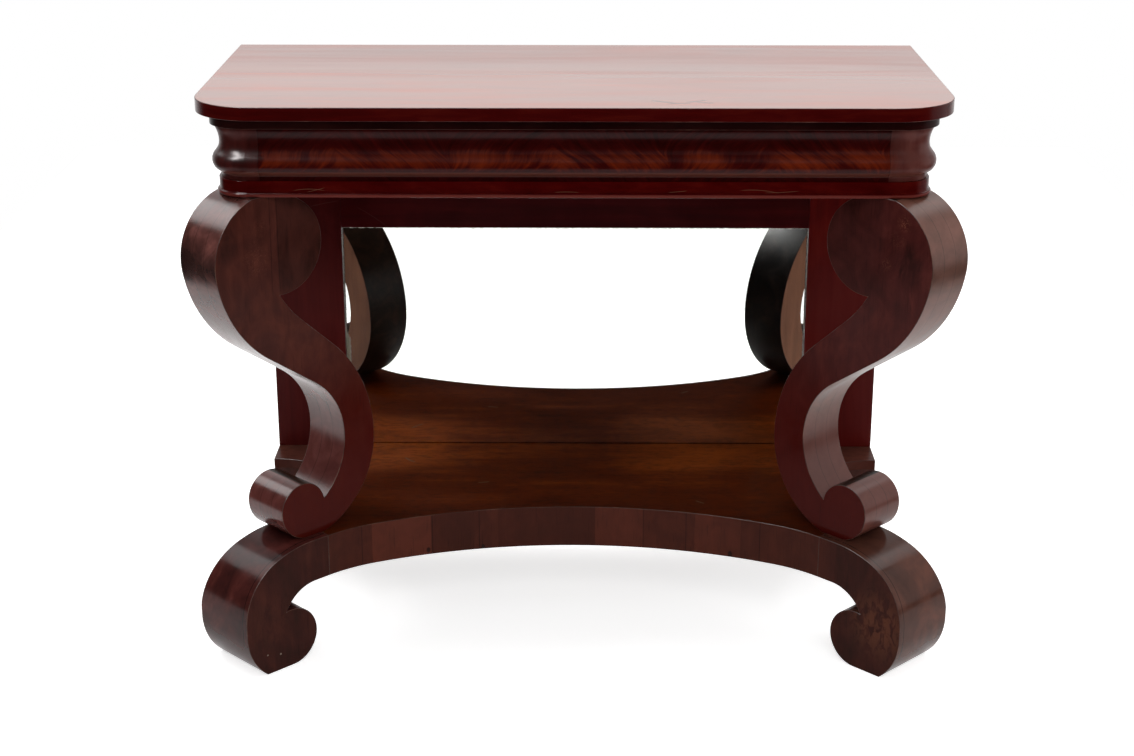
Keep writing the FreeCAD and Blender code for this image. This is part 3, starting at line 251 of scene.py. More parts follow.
RAIL_SHINE = 0.07
RAIL_DARK = (0.037, 0.0095, 0.0054)
RAIL_MID = (0.062, 0.0145, 0.0086)
RAIL_LIGHT = (0.110, 0.0260, 0.0150)
RAIL_LEAVES = ((0.0, 0.46), (0.098, 0.82), (0.211, 0.38), (0.30, 0.50), (0.345, 0.38),
               (0.54, 0.70), (0.64, 0.52), (0.74, 0.72), (0.83, 0.50))
RAIL_HALF = 0.40
RAIL_JOINTS = (-0.334, -0.226, -0.152, 0.112, 0.180, 0.295)
RAIL_JOINT_WIDE = 0.0011
JOINT_SHADE = (0.008, 0.003, 0.002, 1)
PORE_SHADE = (0.012, 0.004, 0.003, 1)
PORE_SPREAD = (0.60, 0.72)
POLISH_SPREAD = (0.3, 0.7)
RAIL_CHIPS = ((-0.233, 0.136), (-0.146, 0.131), (0.250, 0.133))
CHIP_SHADE = (0.012, 0.005, 0.004, 1)
CHIP_SHARP = 900000
CHIP_RISE = 0.4
CHIP_RAGGED = 30
CHIP_SPREAD = (4, 14)
WORN_PALE = (0.19, 0.085, 0.055)
WORN_DARK = (0.055, 0.017, 0.011)
WORN_ROUGH = 0.4
WING_FRONT = 0.1645
ARM_BACK = 0.3688
HOLLOW_ROOT = ARM_BACK - WING_FRONT
HOLLOW_WEDGE = math.radians(45)
HOLLOW_ARC = (89, 226)
HOLLOW_TIGHT = 0.070
HOLLOW_FULL = 0.127
SIDE_RAIL_THICK = 0.030
REAR_FOOT_INNER = 0.441
SHELF_UNDER = 0.180
HAIR = 0.0002


def worked(node, finishes, arris=ARRIS, choose=None, trim=None, flush=None):
    """A piece on the frame's own solid, its arrises eased and rubbed, each face in its finish."""
    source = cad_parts[node].data
    shape = bpy.data.meshes.new(node)
    shape.from_pydata([v.co for v in source.vertices], [], [p.vertices for p in source.polygons])
    form = bmesh.new()
    form.from_mesh(shape)
    bmesh.ops.remove_doubles(form, verts=form.verts, dist=WELD)
    bmesh.ops.dissolve_limit(form, angle_limit=FLAT_TURN, verts=form.verts, edges=form.edges)
    if trim:
        for corner in form.verts:
            corner.co = trim(corner.co)
        bmesh.ops.remove_doubles(form, verts=form.verts, dist=WELD)
    for face in form.faces:
        face.smooth = True
    eased_edges = form.edges.layers.float.new("bevel_weight_edge")
    for edge in form.edges:
        turned = edge.is_manifold and edge.calc_face_angle() > ARRIS_TURN
        laid_flush = flush is not None and all(flush(v.co) for v in edge.verts)
        edge[eased_edges] = float(turned and not laid_flush)
        edge.smooth = not (turned and laid_flush)
    form.to_mesh(shape)
    form.free()
    for finish in finishes:
        shape.materials.append(finish)
    if choose:
        for face in shape.polygons:
            face.material_index = choose(face.normal)
    piece = bpy.data.objects.new(node + "_wood", shape)
    bpy.context.collection.objects.link(piece)
    eased = piece.modifiers.new("eased_arrises", "BEVEL")
    eased.width = arris
    eased.segments = 2
    eased.limit_method = "WEIGHT"
    eased.use_clamp_overlap = False
    eased.harden_normals = True
    eased.material = len(finishes) - 1
    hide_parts(node)
    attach(piece, "root")


def grain(place, stretch, scale, detail=5, twist=1.0):
    """A drawn-out figure: slow along the grain, close across it."""
    laid = place.node("ShaderNodeMapping", entries={"Vector": place, "Scale": stretch})
    return laid.node("ShaderNodeTexNoise", None, {
        "Vector": laid, "Scale": scale, "Detail": detail, "Roughness": 0.55, "Distortion": twist})


def stained(amount, *tones):
    """The tones of one stain in turn, evenly spaced over the middle half of an amount."""
    last = len(tones) - 1
    stops = [(0.25 + 0.5 * index / last, tone) for index, tone in enumerate(tones)]
    return amount.node("ShaderNodeValToRGB", {"stops": stops}, {"Fac": amount})


def laid_over(amount, under, over):
    """One colour over another."""
    return amount.node("ShaderNodeMix", {"data_type": "RGBA"}, {0: amount, 6: under, 7: over}, 2)


def pored(pores, shown, tone):
    """A tone with the dark open pores of its wood."""
    return laid_over(soften(pores, *PORE_SPREAD) * shown, tone, PORE_SHADE)


def uneven(figure, thick, thin):
    """How rough a polish is that lies thick in places and thin in others."""
    return soften(figure, *POLISH_SPREAD, thick, thin)


def joint_lines(across, joints, width):
    """Fine dark joints between leaves of veneer."""
    gap = abs(across - joints[0])
    for joint in joints[1:]:
        gap = gap.maths("MINIMUM", abs(across - joint))
    return soften(gap, 0.0, width, 1.0, 0.0)


def polished(finish, tone, rough, relief=None, shine=SHELLAC, depth=RELIEF_DEPTH):
    """Shellac over a toned wood, a little uneven in its gloss."""
    entries = {"Base Color": tone, "Roughness": rough, "Specular IOR Level": shine}
    if relief:
        entries["Normal"] = relief.node("ShaderNodeBump", entries={
            "Height": relief, "Strength": 0.5, "Distance": depth})
    shader = tone.node("ShaderNodeBsdfPrincipled", entries=entries)
    shader.node("ShaderNodeOutputMaterial", entries={"Surface": shader})
    return finish


def worn_arris(name, pale, dark, patch):
    """An arris rubbed through to the pale wood here and there."""
    finish, place = surface(name)
    rub = grain(place, (1, 1, 1), patch, 4, 0.5)
    return polished(finish, stained(rub, dark, dark, pale), WORN_ROUGH)


def leafed_rail():
    """Upright leaves of veneer on the front rail, with chips along its lower arris."""
    finish, place = surface("rail_leaves")
    across, _, up = place.axes()
    leaves = across.node("ShaderNodeValToRGB", {
        "stops": [(share, (tone, tone, tone)) for share, tone in RAIL_LEAVES]},
        {"Fac": (across + RAIL_HALF) * (0.5 / RAIL_HALF)})
    leaves.socket.node.color_ramp.interpolation = "CONSTANT"
    streaks = grain(place, (1, 1, 0.16), 70, 6, 0.6)
    clouds = grain(place, (1, 1, 0.8), 20, 5, 1.8)
    pores = grain(place, (1, 1, 0.05), 520, 2, 0)
    amount = leaves * 0.6 + streaks * 0.18 + clouds * 0.34 - 0.03
    tone = stained(amount, RAIL_DARK, RAIL_MID, RAIL_LIGHT)
    tone = laid_over(joint_lines(across, RAIL_JOINTS, RAIL_JOINT_WIDE) * 0.75, tone, JOINT_SHADE)
    tone = pored(pores, 0.4, tone)
    for chip_across, chip_up in RAIL_CHIPS:
        far = (across - chip_across) ** 2 + (up - chip_up) ** 2 * CHIP_RISE
        ragged = far * CHIP_SHARP + (streaks - 0.5) * CHIP_RAGGED
        tone = laid_over(soften(ragged, *CHIP_SPREAD, 0.85, 0.0), tone, CHIP_SHADE)
    rough = uneven(clouds, 0.29, 0.36)
    return polished(finish, tone, rough, streaks * 0.4 + pores * 0.6, RAIL_SHINE)


def under_shelf(corner):
    """Where a rail meets the shelf under one veneer."""
    return abs(corner.z - SHELF_UNDER) < HAIR


rubbed_brown = worn_arris("rubbed_brown", WORN_PALE, WORN_DARK, patch=30)
rail_veneer = leafed_rail()
worked("base_front_rail", [rail_veneer, rubbed_brown], flush=under_shelf)


def plain_rail():
    """Lengthwise straight grain on the side rails."""
    finish, place = surface("side_rail_wood")
    streaks = grain(place, (0.25, 0.25, 1), 60, 5, 0.5)
    clouds = grain(place, (1, 1, 1), 9, 3, 1)
    tone = stained(streaks * 0.6 + clouds * 0.4, RAIL_DARK, RAIL_MID, RAIL_LIGHT)
    return polished(finish, tone, uneven(clouds, 0.29, 0.4), streaks, RAIL_SHINE)


def fuller_hollow(corner, stop=1.0):
    """Carries a corner of the tight hollow out to the full one, between the same two lines."""
    way, across = math.copysign(1, corner.x), abs(corner.x)
    tight, full = (Vector((HOLLOW_ROOT + reach / math.tan(HOLLOW_WEDGE / 2), WING_FRONT - reach))
                   for reach in (HOLLOW_TIGHT, HOLLOW_FULL))
    arm = Vector((across, corner.y)) - tight
    turn = math.degrees(math.atan2(arm.y, arm.x)) % 360
    for behind in (0, SIDE_RAIL_THICK):
        curved = (abs(arm.length - HOLLOW_TIGHT - behind) < HAIR
                  and HOLLOW_ARC[0] < turn < HOLLOW_ARC[1])
        straight = abs(corner.y - WING_FRONT - behind) < HAIR and across > tight.x
        if curved or straight:
            reach = HOLLOW_FULL + behind
            spot = full + arm.normalized() * reach if curved else Vector((across, corner.y))
            if spot.x > stop or straight and spot.x < full.x:
                spot.x = min(spot.x, stop)
                spot.y = full.y + math.sqrt(reach ** 2 - (full.x - spot.x) ** 2)
            return Vector((spot.x * way, spot.y, corner.z))
    return corner


side_rail_wood = plain_rail()
for side in ("left", "right"):
    worked("base_side_rail_" + side, [side_rail_wood, rubbed_brown], flush=under_shelf,
           trim=lambda corner: fuller_hollow(corner, REAR_FOOT_INNER))


# ----------------------------------------------------------------------------------------------
# Carcass softwood: the back rail, the blocks behind the front feet and the dowels of the scrolls.
# They are sawn from plain softwood, glued in and left unpolished, because nobody sees them
# ----------------------------------------------------------------------------------------------
SOFTWOOD_DARK = (0.13, 0.066, 0.033)
SOFTWOOD_MID = (0.22, 0.125, 0.066)
SOFTWOOD_PALE = (0.33, 0.20, 0.112)
BARE_SHINE = 0.2


def softwood(name, stretch):
    """Unpolished softwood, darkened by age, with saw marks and soft streaks."""
    finish, place = surface(name)
    streaks = grain(place, stretch, 46, 6, 0.8)
    clouds = grain(place, (1, 1, 1), 6, 3, 1)
    saw = place.node("ShaderNodeTexWave", {"bands_direction": "DIAGONAL"},
                    {"Vector": place, "Scale": 55, "Distortion": 3, "Detail": 2})
    tone = stained(streaks * 0.6 + clouds * 0.4, SOFTWOOD_DARK, SOFTWOOD_MID, SOFTWOOD_PALE)
    rough = uneven(streaks, 0.7, 0.85)
    return polished(finish, tone, rough, streaks * 0.7 + saw * 0.3, BARE_SHINE)


def left_plain(finish, *nodes):
    """Pieces that keep their plain form and get only their finish."""
    for node in nodes:
        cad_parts[node].data.materials[0] = finish


softwood_along = softwood("softwood_along", (0.08, 1, 1))
softwood_upright = softwood("softwood_upright", (1, 1, 0.08))
left_plain(softwood_along, "base_back_rail", "arm_block_left", "arm_block_right", "scroll_dowels")


# ----------------------------------------------------------------------------------------------
# Front feet: C-scrolls set on the diagonal, sawn from a stack of boards, veneered on the face and
# round the edge and left bare behind; a lamination shows just behind the face, and the right one
# is rubbed mottled
# ----------------------------------------------------------------------------------------------
FOOT_DARK = (0.023, 0.0084, 0.0050)
FOOT_MID = (0.044, 0.0110, 0.0078)
FOOT_LIGHT = (0.080, 0.0200, 0.0130)
FACE_SHINE = 0.06
ROOT_HALF = math.sqrt(0.5)
ARM_FACE = 0.1588
LAMINATION_BACK = 0.0105
FOOT_RUB = (0.122, 0.038, 0.020, 1)
FOOT_CURL = (0.503, 0.085)
CURL_SPREAD = (0.055, 0.115)
ARM_SPREAD = (0.43, 0.36)
FOOT_RUBBED = {"left": 0.12, "right": 0.85}
SEAM_SHADE = (0.006, 0.003, 0.002, 1)
SEAM_SPREAD = (0.0004, 0.0013)
FILLER = (0.30, 0.22, 0.17, 1)
FILLER_DOTS = ((0.5069, 0.0330, 0.0017), (0.4824, 0.0268, 0.0019))
RIM_TONES = {
    "left": ((0.014, 0.0060, 0.0060), (0.062, 0.0140, 0.0115), (0.145, 0.0330, 0.0260)),
    "right": ((0.040, 0.0160, 0.0110), (0.082, 0.0290, 0.0190), (0.150, 0.0500, 0.0300))}
RIM_SHINE = 0.13
BACK_SHINE = 0.12
BACK_TONES = {
    "left": ((0.080, 0.029, 0.014), (0.130, 0.048, 0.024), (0.190, 0.074, 0.038)),
    "right": ((0.110, 0.042, 0.021), (0.185, 0.071, 0.036), (0.260, 0.104, 0.054))}


def mitre_axes(place, way):
    """Along the diagonal, outwards, through the thickness, towards the wall, and up."""
    across, along, up = place.axes()
    return (across * way - along) * ROOT_HALF, (across * way + along) * ROOT_HALF, up


def distance(across, up, middle, rise=1.0):
    """How far a point lies from a middle, with more or less weight on its height."""
    return ((across - middle[0]) ** 2 + (up - middle[1]) ** 2 * rise).maths("SQRT")


def mitre_faces(way):
    """Finish 0 on the face, 1 round the outer rim, 2 behind and 3 round the inner rim."""
    through, outwards = Vector((way, 1, 0)).normalized(), Vector((way, -1, 0)).normalized()

    def choose(normal):
        looks = normal.dot(through)
        rim = 1 if normal.dot(outwards) > 0 else 3
        return 0 if looks < -0.9 else 2 if looks > 0.9 else rim
    return choose


def foot_face(side, way):
    """Dark veneer with upright figure, rubbed mottled round the curl of the right one."""
    finish, place = surface("foot_face_" + side)
    outwards, _, up = mitre_axes(place, way)
    rub = FOOT_RUBBED[side]
    streaks = grain(place, (1, 1, 0.14), 80, 6, 0.6)
    clouds = grain(place, (1, 1, 0.6), 13, 4, 1.8)
    mottle = grain(place, (1, 1, 0.6), 105, 5, 0.7)
    pores = grain(place, (1, 1, 0.05), 500, 2, 0)
    tone = stained(streaks * 0.4 + clouds * 0.6, FOOT_DARK, FOOT_MID, FOOT_LIGHT)
    worn = soften(distance(outwards, up, FOOT_CURL) + mottle * 0.07, *CURL_SPREAD, rub, 0.0)
    tone = laid_over(worn * soften(mottle, 0.38, 0.6), tone, FOOT_RUB)
    arm = soften(outwards, *ARM_SPREAD) * rub
    tone = laid_over(arm * 0.7, tone, (*RAIL_LIGHT, 1))
    tone = pored(pores, 0.3, tone)
    if side == "left":
        for *middle, half in FILLER_DOTS:
            far = distance(outwards, up, middle)
            tone = laid_over(soften(far, half * 0.6, half, 0.9, 0.0), tone, FILLER)
    rough = uneven(clouds, 0.17, 0.26)
    return polished(finish, tone, rough, streaks * 0.4 + pores * 0.6, FACE_SHINE)


def foot_rim(side, way):
    """Cross grain bent round the curl, blotched dark, with the lamination behind the face."""
    finish, place = surface("foot_rim_" + side)
    _, behind, _ = mitre_axes(place, way)
    bands = grain(place, (1, 1, 1), 11, 4, 1.4)
    streaks = grain(place, (1, 1, 1), 46, 5, 0.8)
    tone = stained(bands * 0.75 + streaks * 0.25, *RIM_TONES[side])
    seam = abs(behind - (ARM_FACE + LAMINATION_BACK))
    tone = laid_over(soften(seam, *SEAM_SPREAD, 0.7, 0.0), tone, SEAM_SHADE)
    rough = uneven(bands, 0.15, 0.26)
    return polished(finish, tone, rough, streaks * 0.4, RIM_SHINE)


def rough_back(side):
    """The unveneered back of a foot and its scroll, browner and dull, the left one darker."""
    finish, place = surface("scroll_back_" + side)
    streaks = grain(place, (1, 1, 0.12), 70, 5, 0.6)
    clouds = grain(place, (1, 1, 0.7), 9, 4, 1)
    tone = stained(streaks * 0.5 + clouds * 0.5, *BACK_TONES[side])
    return polished(finish, tone, 0.5, streaks, BACK_SHINE)


bare_back = {side: rough_back(side) for side in ("left", "right")}
for side, way in (("left", -1), ("right", 1)):
    rim = foot_rim(side, way)
    worked("front_foot_" + side,
           [foot_face(side, way), rim, bare_back[side], rim, rubbed_brown],
           choose=mitre_faces(way))


# ----------------------------------------------------------------------------------------------
# Rear feet: plain blocks of polished mahogany with upright grain, glued under the wings of the
# shelf beside the side rails
# ----------------------------------------------------------------------------------------------
def rear_block_wood():
    """Dark upright grain."""
    finish, place = surface("rear_block_wood")
    streaks = grain(place, (1, 1, 0.12), 60, 5, 0.6)
    clouds = grain(place, (1, 1, 1), 11, 3, 1)
    tone = stained(streaks * 0.6 + clouds * 0.4, FOOT_DARK, RAIL_MID, RAIL_LIGHT)
    return polished(finish, tone, uneven(clouds, 0.29, 0.4), streaks)


rear_foot_wood = rear_block_wood()
for side in ("left", "right"):
    worked("rear_foot_" + side, [rear_foot_wood, rubbed_brown])


# ----------------------------------------------------------------------------------------------
# Shelf: one board with its figure running lengthwise, hollow in front and at both ends, golden
# towards the mirror where the light has bleached it, with a few scratches and specks in its duller
# polish and painted shade towards its front and beside the scrolls; its edge is veneered in one
# with the rails under it
# ----------------------------------------------------------------------------------------------
SHELF_DARK = (0.042, 0.0052, 0.0006)
SHELF_MID = (0.112, 0.0165, 0.0012)
SHELF_GOLD = (0.310, 0.0630, 0.0070)
SHELF_WING_SHADE = (0.075, 0.0260, 0.0210, 1)
SHELF_SCRATCHES = ((-0.281, 0.160, -48, 0.032, 9.0), (-0.281, 0.312, 33, 0.030, 2.0),
                   (0.204, -0.020, -40, 0.020, 5.0), (-0.150, 0.062, 12, 0.022, 4.0))
SCRATCH_PALE = (0.17, 0.11, 0.075, 1)
SCRATCH_NEAR = (0.003, 0.004)
SPECK_SIZES = (0.04, 0.075)
SPECKS_FROM = (0.48, 0.58)
SHELF_FACE = 0.196
SHELF_SHINE = 0.05
FLECK_SHADE = (0.014, 0.003, 0.0010, 1)
FLECKS_FROM = (0.45, 0.70)
GOLD_BEHIND = (0.06, 0.17)
GOLD_ENDS = (0.07, 0.27)
DULL_MIDDLE = (0.0, 0.12)
PAINTED_SHADE_FRONT = (0.07, -0.07)
WING_FROM = (0.385, 0.41)


def scratched(tone, place, marks, level, width, shown, bare, forward=False):
    """Fine bowed scratches on a face that looks up, or forward, each strongest at its middle."""
    for first, second, turn, reach, bow in marks:
        turn = math.radians(turn)
        centre, angles = (((first, level, second), (math.radians(90), -turn, 0)) if forward else
                          ((first, second, level), (0, 0, turn)))
        laid = place.node("ShaderNodeMapping", {"vector_type": "TEXTURE"},
                          {"Vector": place, "Location": centre, "Rotation": angles})
        along, across, off = laid.axes()
        line = soften(abs(across - along * along * bow), width * 0.4, width, 1.0, 0.0)
        ends = soften(abs(along), reach * 0.3, reach * 0.5, 1.0, 0.0)
        near = soften(abs(off), *SCRATCH_NEAR, 1.0, 0.0)
        tone = laid_over(line * ends * near * shown, tone, bare)
    return tone


def shelf_veneer():
    """Flowing lengthwise figure, golden behind towards both ends, with painted shade towards the
    front.
    """
    finish, place = surface("shelf_veneer")
    across, along, _ = place.axes()
    flame = grain(place, (0.22, 1, 1), 22, 6, 0.9)
    streaks = grain(place, (0.08, 1, 1), 110, 6, 0.5)
    clouds = grain(place, (0.7, 1, 1), 6.5, 3, 0.5)
    fleck = grain(place, (0.4, 1, 1), 170, 2, 0)
    behind = soften(along, *GOLD_BEHIND)
    ends = soften(abs(across + 0.03), *GOLD_ENDS, 0.0, 0.19) * behind
    middle = soften(abs(across + 0.01), *DULL_MIDDLE, 0.05, 0.0) * behind
    # Painted shade: the shelf is darkened towards its front, more at the left.
    front = soften(along + across * 0.15, *PAINTED_SHADE_FRONT, 0.0, 0.11)
    amount = flame * 0.42 + clouds * 0.40 + streaks * 0.22 + ends - middle - front - 0.02
    tone = stained(amount, SHELF_DARK, SHELF_MID, SHELF_GOLD)
    # Painted shade: the shelf's ends round the scroll feet are laid over with a darker brown.
    tone = laid_over(soften(abs(across), *WING_FROM) * 0.9, tone, SHELF_WING_SHADE)
    tone = laid_over(soften(fleck, *FLECKS_FROM) * 0.4, tone, FLECK_SHADE)
    specks = place.node("ShaderNodeTexVoronoi", {"feature": "F1"},
                        {"Vector": place, "Scale": 75, "Randomness": 1.0})
    dust = soften(specks, *SPECK_SIZES, 1.0, 0.0) * soften(clouds, *SPECKS_FROM)
    tone = laid_over(dust * 0.45, tone, SCRATCH_PALE)
    tone = scratched(tone, place, SHELF_SCRATCHES, SHELF_FACE, 0.0024, 0.7, SCRATCH_PALE)
    rough = uneven(clouds, 0.29, 0.36)
    return polished(finish, tone, rough, streaks * 0.5 + fleck * 0.5, SHELF_SHINE)


def upper_face(normal):
    """Finish 0 on what looks up, 1 elsewhere."""
    return 0 if normal.z > 0.9 else 1


worked("shelf_board", [shelf_veneer(), rail_veneer, rubbed_brown], choose=upper_face,
       trim=fuller_hollow, flush=under_shelf)


# ----------------------------------------------------------------------------------------------
# Scrolls: sawn from boards set upright side by side, so that joints and a change of tone show
# down their faces, with cross veneer bent round their outer rims, which takes a strong shine; each
# is doweled between the shelf and the frieze on the diagonal, with its back left bare
# ----------------------------------------------------------------------------------------------
SCROLL_TONES = {
    "left": ((0.028, 0.0085, 0.0062), (0.068, 0.0170, 0.0120), (0.132, 0.0330, 0.0210)),
    "right": ((0.029, 0.0072, 0.0060), (0.074, 0.0148, 0.0128), (0.140, 0.0290, 0.0230))}
SCROLL_RED = (0.070, 0.0032, 0.0013, 1)
RED_BELOW = (0.38, 0.62)
HEAD_FROM = (0.585, 0.61)
SCROLL_SEAMS = (0.2063, 0.2343)
SEAM_WIDE = 0.0011
SCROLL_JOINTS = {"left": (0.4390, 0.4520), "right": (0.4570, 0.4700)}
SCROLL_JOINT_WIDE = 0.0014
SCROLL_JOINT_SHADE = (0.010, 0.005, 0.004, 1)
JOINT_BLUR = {"left": 0.001, "right": 0.014}
JOINT_SHOWN = {"left": 0.5, "right": 0.12}
SCUFFS = {"left": ((0.478, 0.655, 0.034, 0.30), (0.470, 0.700, 0.024, 0.18)),
          "right": ((0.496, 0.716, 0.017, 0.75), (0.468, 0.650, 0.013, 0.55),
                    (0.486, 0.690, 0.020, 0.22))}
SCUFF_TONE = (0.240, 0.075, 0.042, 1)
FACE_SMOKE = {"left": (0.528, 0.685, 0.016), "right": (0.510, 0.650, 0.022)}
SMOKE_RISE = 0.3
# The right rim's tones are lighter and greyer than the left's, a painted sheen.
EDGE_TONES_AND_SHEEN = {
    "left": ((0.028, 0.0110, 0.0090), (0.120, 0.0360, 0.0290), (0.240, 0.0750, 0.0610)),
    "right": ((0.075, 0.0300, 0.0190), (0.140, 0.0550, 0.0370), (0.215, 0.0850, 0.0600))}
EDGE_SHINE = {"left": 0.42, "right": 0.25}
EDGE_ROUGH = {"left": 0.22, "right": 0.325}
EDGE_DARK_REFLECTION = {"left": 0.75, "right": 0.2}
DARK_REFLECTION_UP = 0.652
DARK_REFLECTION_SPREAD = (0.03, 0.07)
DARK_REFLECTION_SHADE = (0.006, 0.003, 0.0025, 1)
INNER_SHINE = 0.12
EDGE_ROSY = (0.110, 0.0210, 0.0180, 1)
ROSY_BELOW = (0.42, 0.32)
INNER_TONES = {
    "left": ((0.010, 0.0050, 0.0030), (0.024, 0.0110, 0.0060), (0.055, 0.0240, 0.0130)),
    "right": ((0.007, 0.0024, 0.0012), (0.015, 0.0060, 0.0026), (0.032, 0.0130, 0.0065))}


def scroll_veneer(side, way):
    """Smoky upright grain above, clear red below, with a joint down the round of the head."""
    finish, place = surface("scroll_face_" + side)
    outwards, _, up = mitre_axes(place, way)
    streaks = grain(place, (1, 1, 0.12), 85, 6, 0.5)
    clouds = grain(place, (1, 1, 0.7), 13, 5, 1.0)
    smoke = grain(place, (1, 1, 0.6), 27, 6, 1.6)
    pores = grain(place, (1, 1, 0.05), 480, 2, 0)
    curls = grain(place, (1, 1, 1), 130, 2, 1.5)
    head = soften(up, *HEAD_FROM)
    edge, blur = SCROLL_JOINTS[side][0], JOINT_BLUR[side]
    disc = soften(outwards + smoke * blur - blur * 0.5, edge - blur, edge + blur, 0.10, 0.0) * head
    *middle, half = FACE_SMOKE[side]
    darkening = soften(distance(outwards, up, middle, SMOKE_RISE) + smoke * 0.03, half, half + 0.02,
                    0.22, 0.0)
    amount = streaks * 0.2 + clouds * 0.42 + smoke * 0.4 - disc - darkening
    tone = stained(amount, *SCROLL_TONES[side])
    tone = laid_over(soften(up + clouds * 0.12, *RED_BELOW, 0.8, 0.0), tone, SCROLL_RED)
    lines = joint_lines(outwards + streaks * 0.004, SCROLL_JOINTS[side], SCROLL_JOINT_WIDE)
    tone = laid_over(lines * head * JOINT_SHOWN[side], tone, SCROLL_JOINT_SHADE)
    tone = pored(pores, 0.3, tone)
    line = soften(abs(curls - 0.5), 0.0, 0.035, 1.0, 0.0)
    for *middle, half, shown in SCUFFS[side]:
        near = soften(distance(outwards, up, middle) + smoke * 0.01, half * 0.5, half + 0.005,
                      shown, 0.0)
        tone = laid_over(near * line, tone, SCUFF_TONE)
    rough = uneven(clouds, 0.14, 0.26)
    return polished(finish, tone, rough, streaks * 0.4 + pores * 0.6, FACE_SHINE)


def scroll_edge(side, way):
    """Clouded cross veneer bent over the laminations, with a strong shine and a painted dark
    reflection at mid height; the right one's lighter tones are a painted sheen.
    """
    finish, place = surface("scroll_edge_" + side)
    _, behind, up = mitre_axes(place, way)
    bands = grain(place, (1, 1, 1), 13, 4, 1.6)
    streaks = grain(place, (1, 1, 1), 60, 5, 0.8)
    # Painted dark reflection: a dark band across the rim at mid height, strongest on the left.
    darkening = soften(abs(up - DARK_REFLECTION_UP) + bands * 0.05, *DARK_REFLECTION_SPREAD, EDGE_DARK_REFLECTION[side], 0.0)
    tone = stained(bands * 0.75 + streaks * 0.25, *EDGE_TONES_AND_SHEEN[side])
    tone = laid_over(darkening, tone, DARK_REFLECTION_SHADE)
    tone = laid_over(soften(up, *ROSY_BELOW, 0.0, 0.5), tone, EDGE_ROSY)
    seams = joint_lines(behind + bands * 0.003, SCROLL_SEAMS, SEAM_WIDE)
    tone = laid_over(seams * 0.5, tone, CHIP_SHADE)
    rough = uneven(bands, -0.04, 0.04) + EDGE_ROUGH[side]
    return polished(finish, tone, rough, streaks * 0.4, EDGE_SHINE[side])


def inner_edge(side):
    """The rim towards the wall, duller and cloudy."""
    finish, place = surface("scroll_inner_edge_" + side)
    bands = grain(place, (1, 1, 1), 15, 5, 1.6)
    streaks = grain(place, (1, 1, 1), 70, 5, 0.8)
    tone = stained(bands * 0.7 + streaks * 0.3, *INNER_TONES[side])
    return polished(finish, tone, uneven(bands, 0.285, 0.36), streaks, INNER_SHINE)


for side, way in (("left", -1), ("right", 1)):
    worked("scroll_" + side,
           [scroll_veneer(side, way), scroll_edge(side, way), bare_back[side], inner_edge(side),
            rubbed_brown], choose=mitre_faces(way))


# ----------------------------------------------------------------------------------------------
# Pilasters and the rail between them: clear red mahogany, upright on the pilasters and lengthwise
# on the rail, polished in front, bare and planed behind, and tenoned together round the glass
# ----------------------------------------------------------------------------------------------
PILASTER_TONES = {
    "left": ((0.028, 0.0006, 0.0010), (0.058, 0.0018, 0.0022), (0.105, 0.0070, 0.0060)),
    "right": ((0.045, 0.0008, 0.0009), (0.108, 0.0026, 0.0021), (0.190, 0.0115, 0.0065))}
PILASTER_LOW = (0.105, 0.0110, 0.0095, 1)
RAIL_TONES = ((0.028, 0.0006, 0.0012), (0.052, 0.0010, 0.0018), (0.088, 0.0030, 0.0040))
CLEAR_SHINE = 0.09
PILASTER_FACE = 0.2285
HAZE_BELOW = (0.60, 0.46)
RUBBED_RED = (0.12, 0.05, 0.04, 1)
PLANED_BACK = ((0.085, 0.029, 0.014), (0.135, 0.048, 0.024), (0.190, 0.073, 0.038))
PILASTER_SCRATCHES = ((-0.338, 0.6065, -34, 0.070, -1.6), (-0.420, 0.628, 12, 0.06, -1.0))


def clear_red(name, stretch, tones):
    """Straight clear grain under a deep red stain, hazier towards the foot of a pilaster."""
    finish, place = surface(name)
    _, _, up = place.axes()
    streaks = grain(place, stretch, 75, 6, 0.4)
    clouds = grain(place, (1, 1, 1), 8, 4, 1.2)
    pores = grain(place, stretch, 420, 2, 0)
    tone = stained(streaks * 0.5 + clouds * 0.5, *tones)
    hazed = soften(up, *HAZE_BELOW, 0.0, 0.75) * soften(streaks, 0.25, 0.75, 0.6, 1.0)
    tone = laid_over(hazed, tone, PILASTER_LOW)
    tone = scratched(tone, place, PILASTER_SCRATCHES, PILASTER_FACE, 0.0007, 0.35, RUBBED_RED,
                     forward=True)
    rough = uneven(clouds, 0.285, 0.36)
    return polished(finish, tone, rough, streaks * 0.5 + pores * 0.5, CLEAR_SHINE)


def planed_back(name, stretch):
    """The bare planed back of a polished piece."""
    finish, place = surface(name)
    streaks = grain(place, stretch, 65, 5, 0.5)
    clouds = grain(place, (1, 1, 1), 7, 4, 1)
    tone = stained(streaks * 0.5 + clouds * 0.5, *PLANED_BACK)
    return polished(finish, tone, 0.6, streaks, BARE_SHINE)


def rear_face(normal):
    """Finish 1 on what looks at the wall, 0 elsewhere."""
    return 1 if normal.y > 0.9 else 0


back_upright = planed_back("back_upright", (1, 1, 0.06))
back_along = planed_back("back_along", (0.06, 1, 1))
for side in ("left", "right"):
    red = clear_red("pilaster_red_" + side, (1, 1, 0.06), PILASTER_TONES[side])
    worked("pilaster_" + side, [red, back_upright, red], choose=rear_face)
red = clear_red("rail_red", (0.06, 1, 1), RAIL_TONES)
worked("mirror_rail", [red, back_along, red], choose=rear_face)


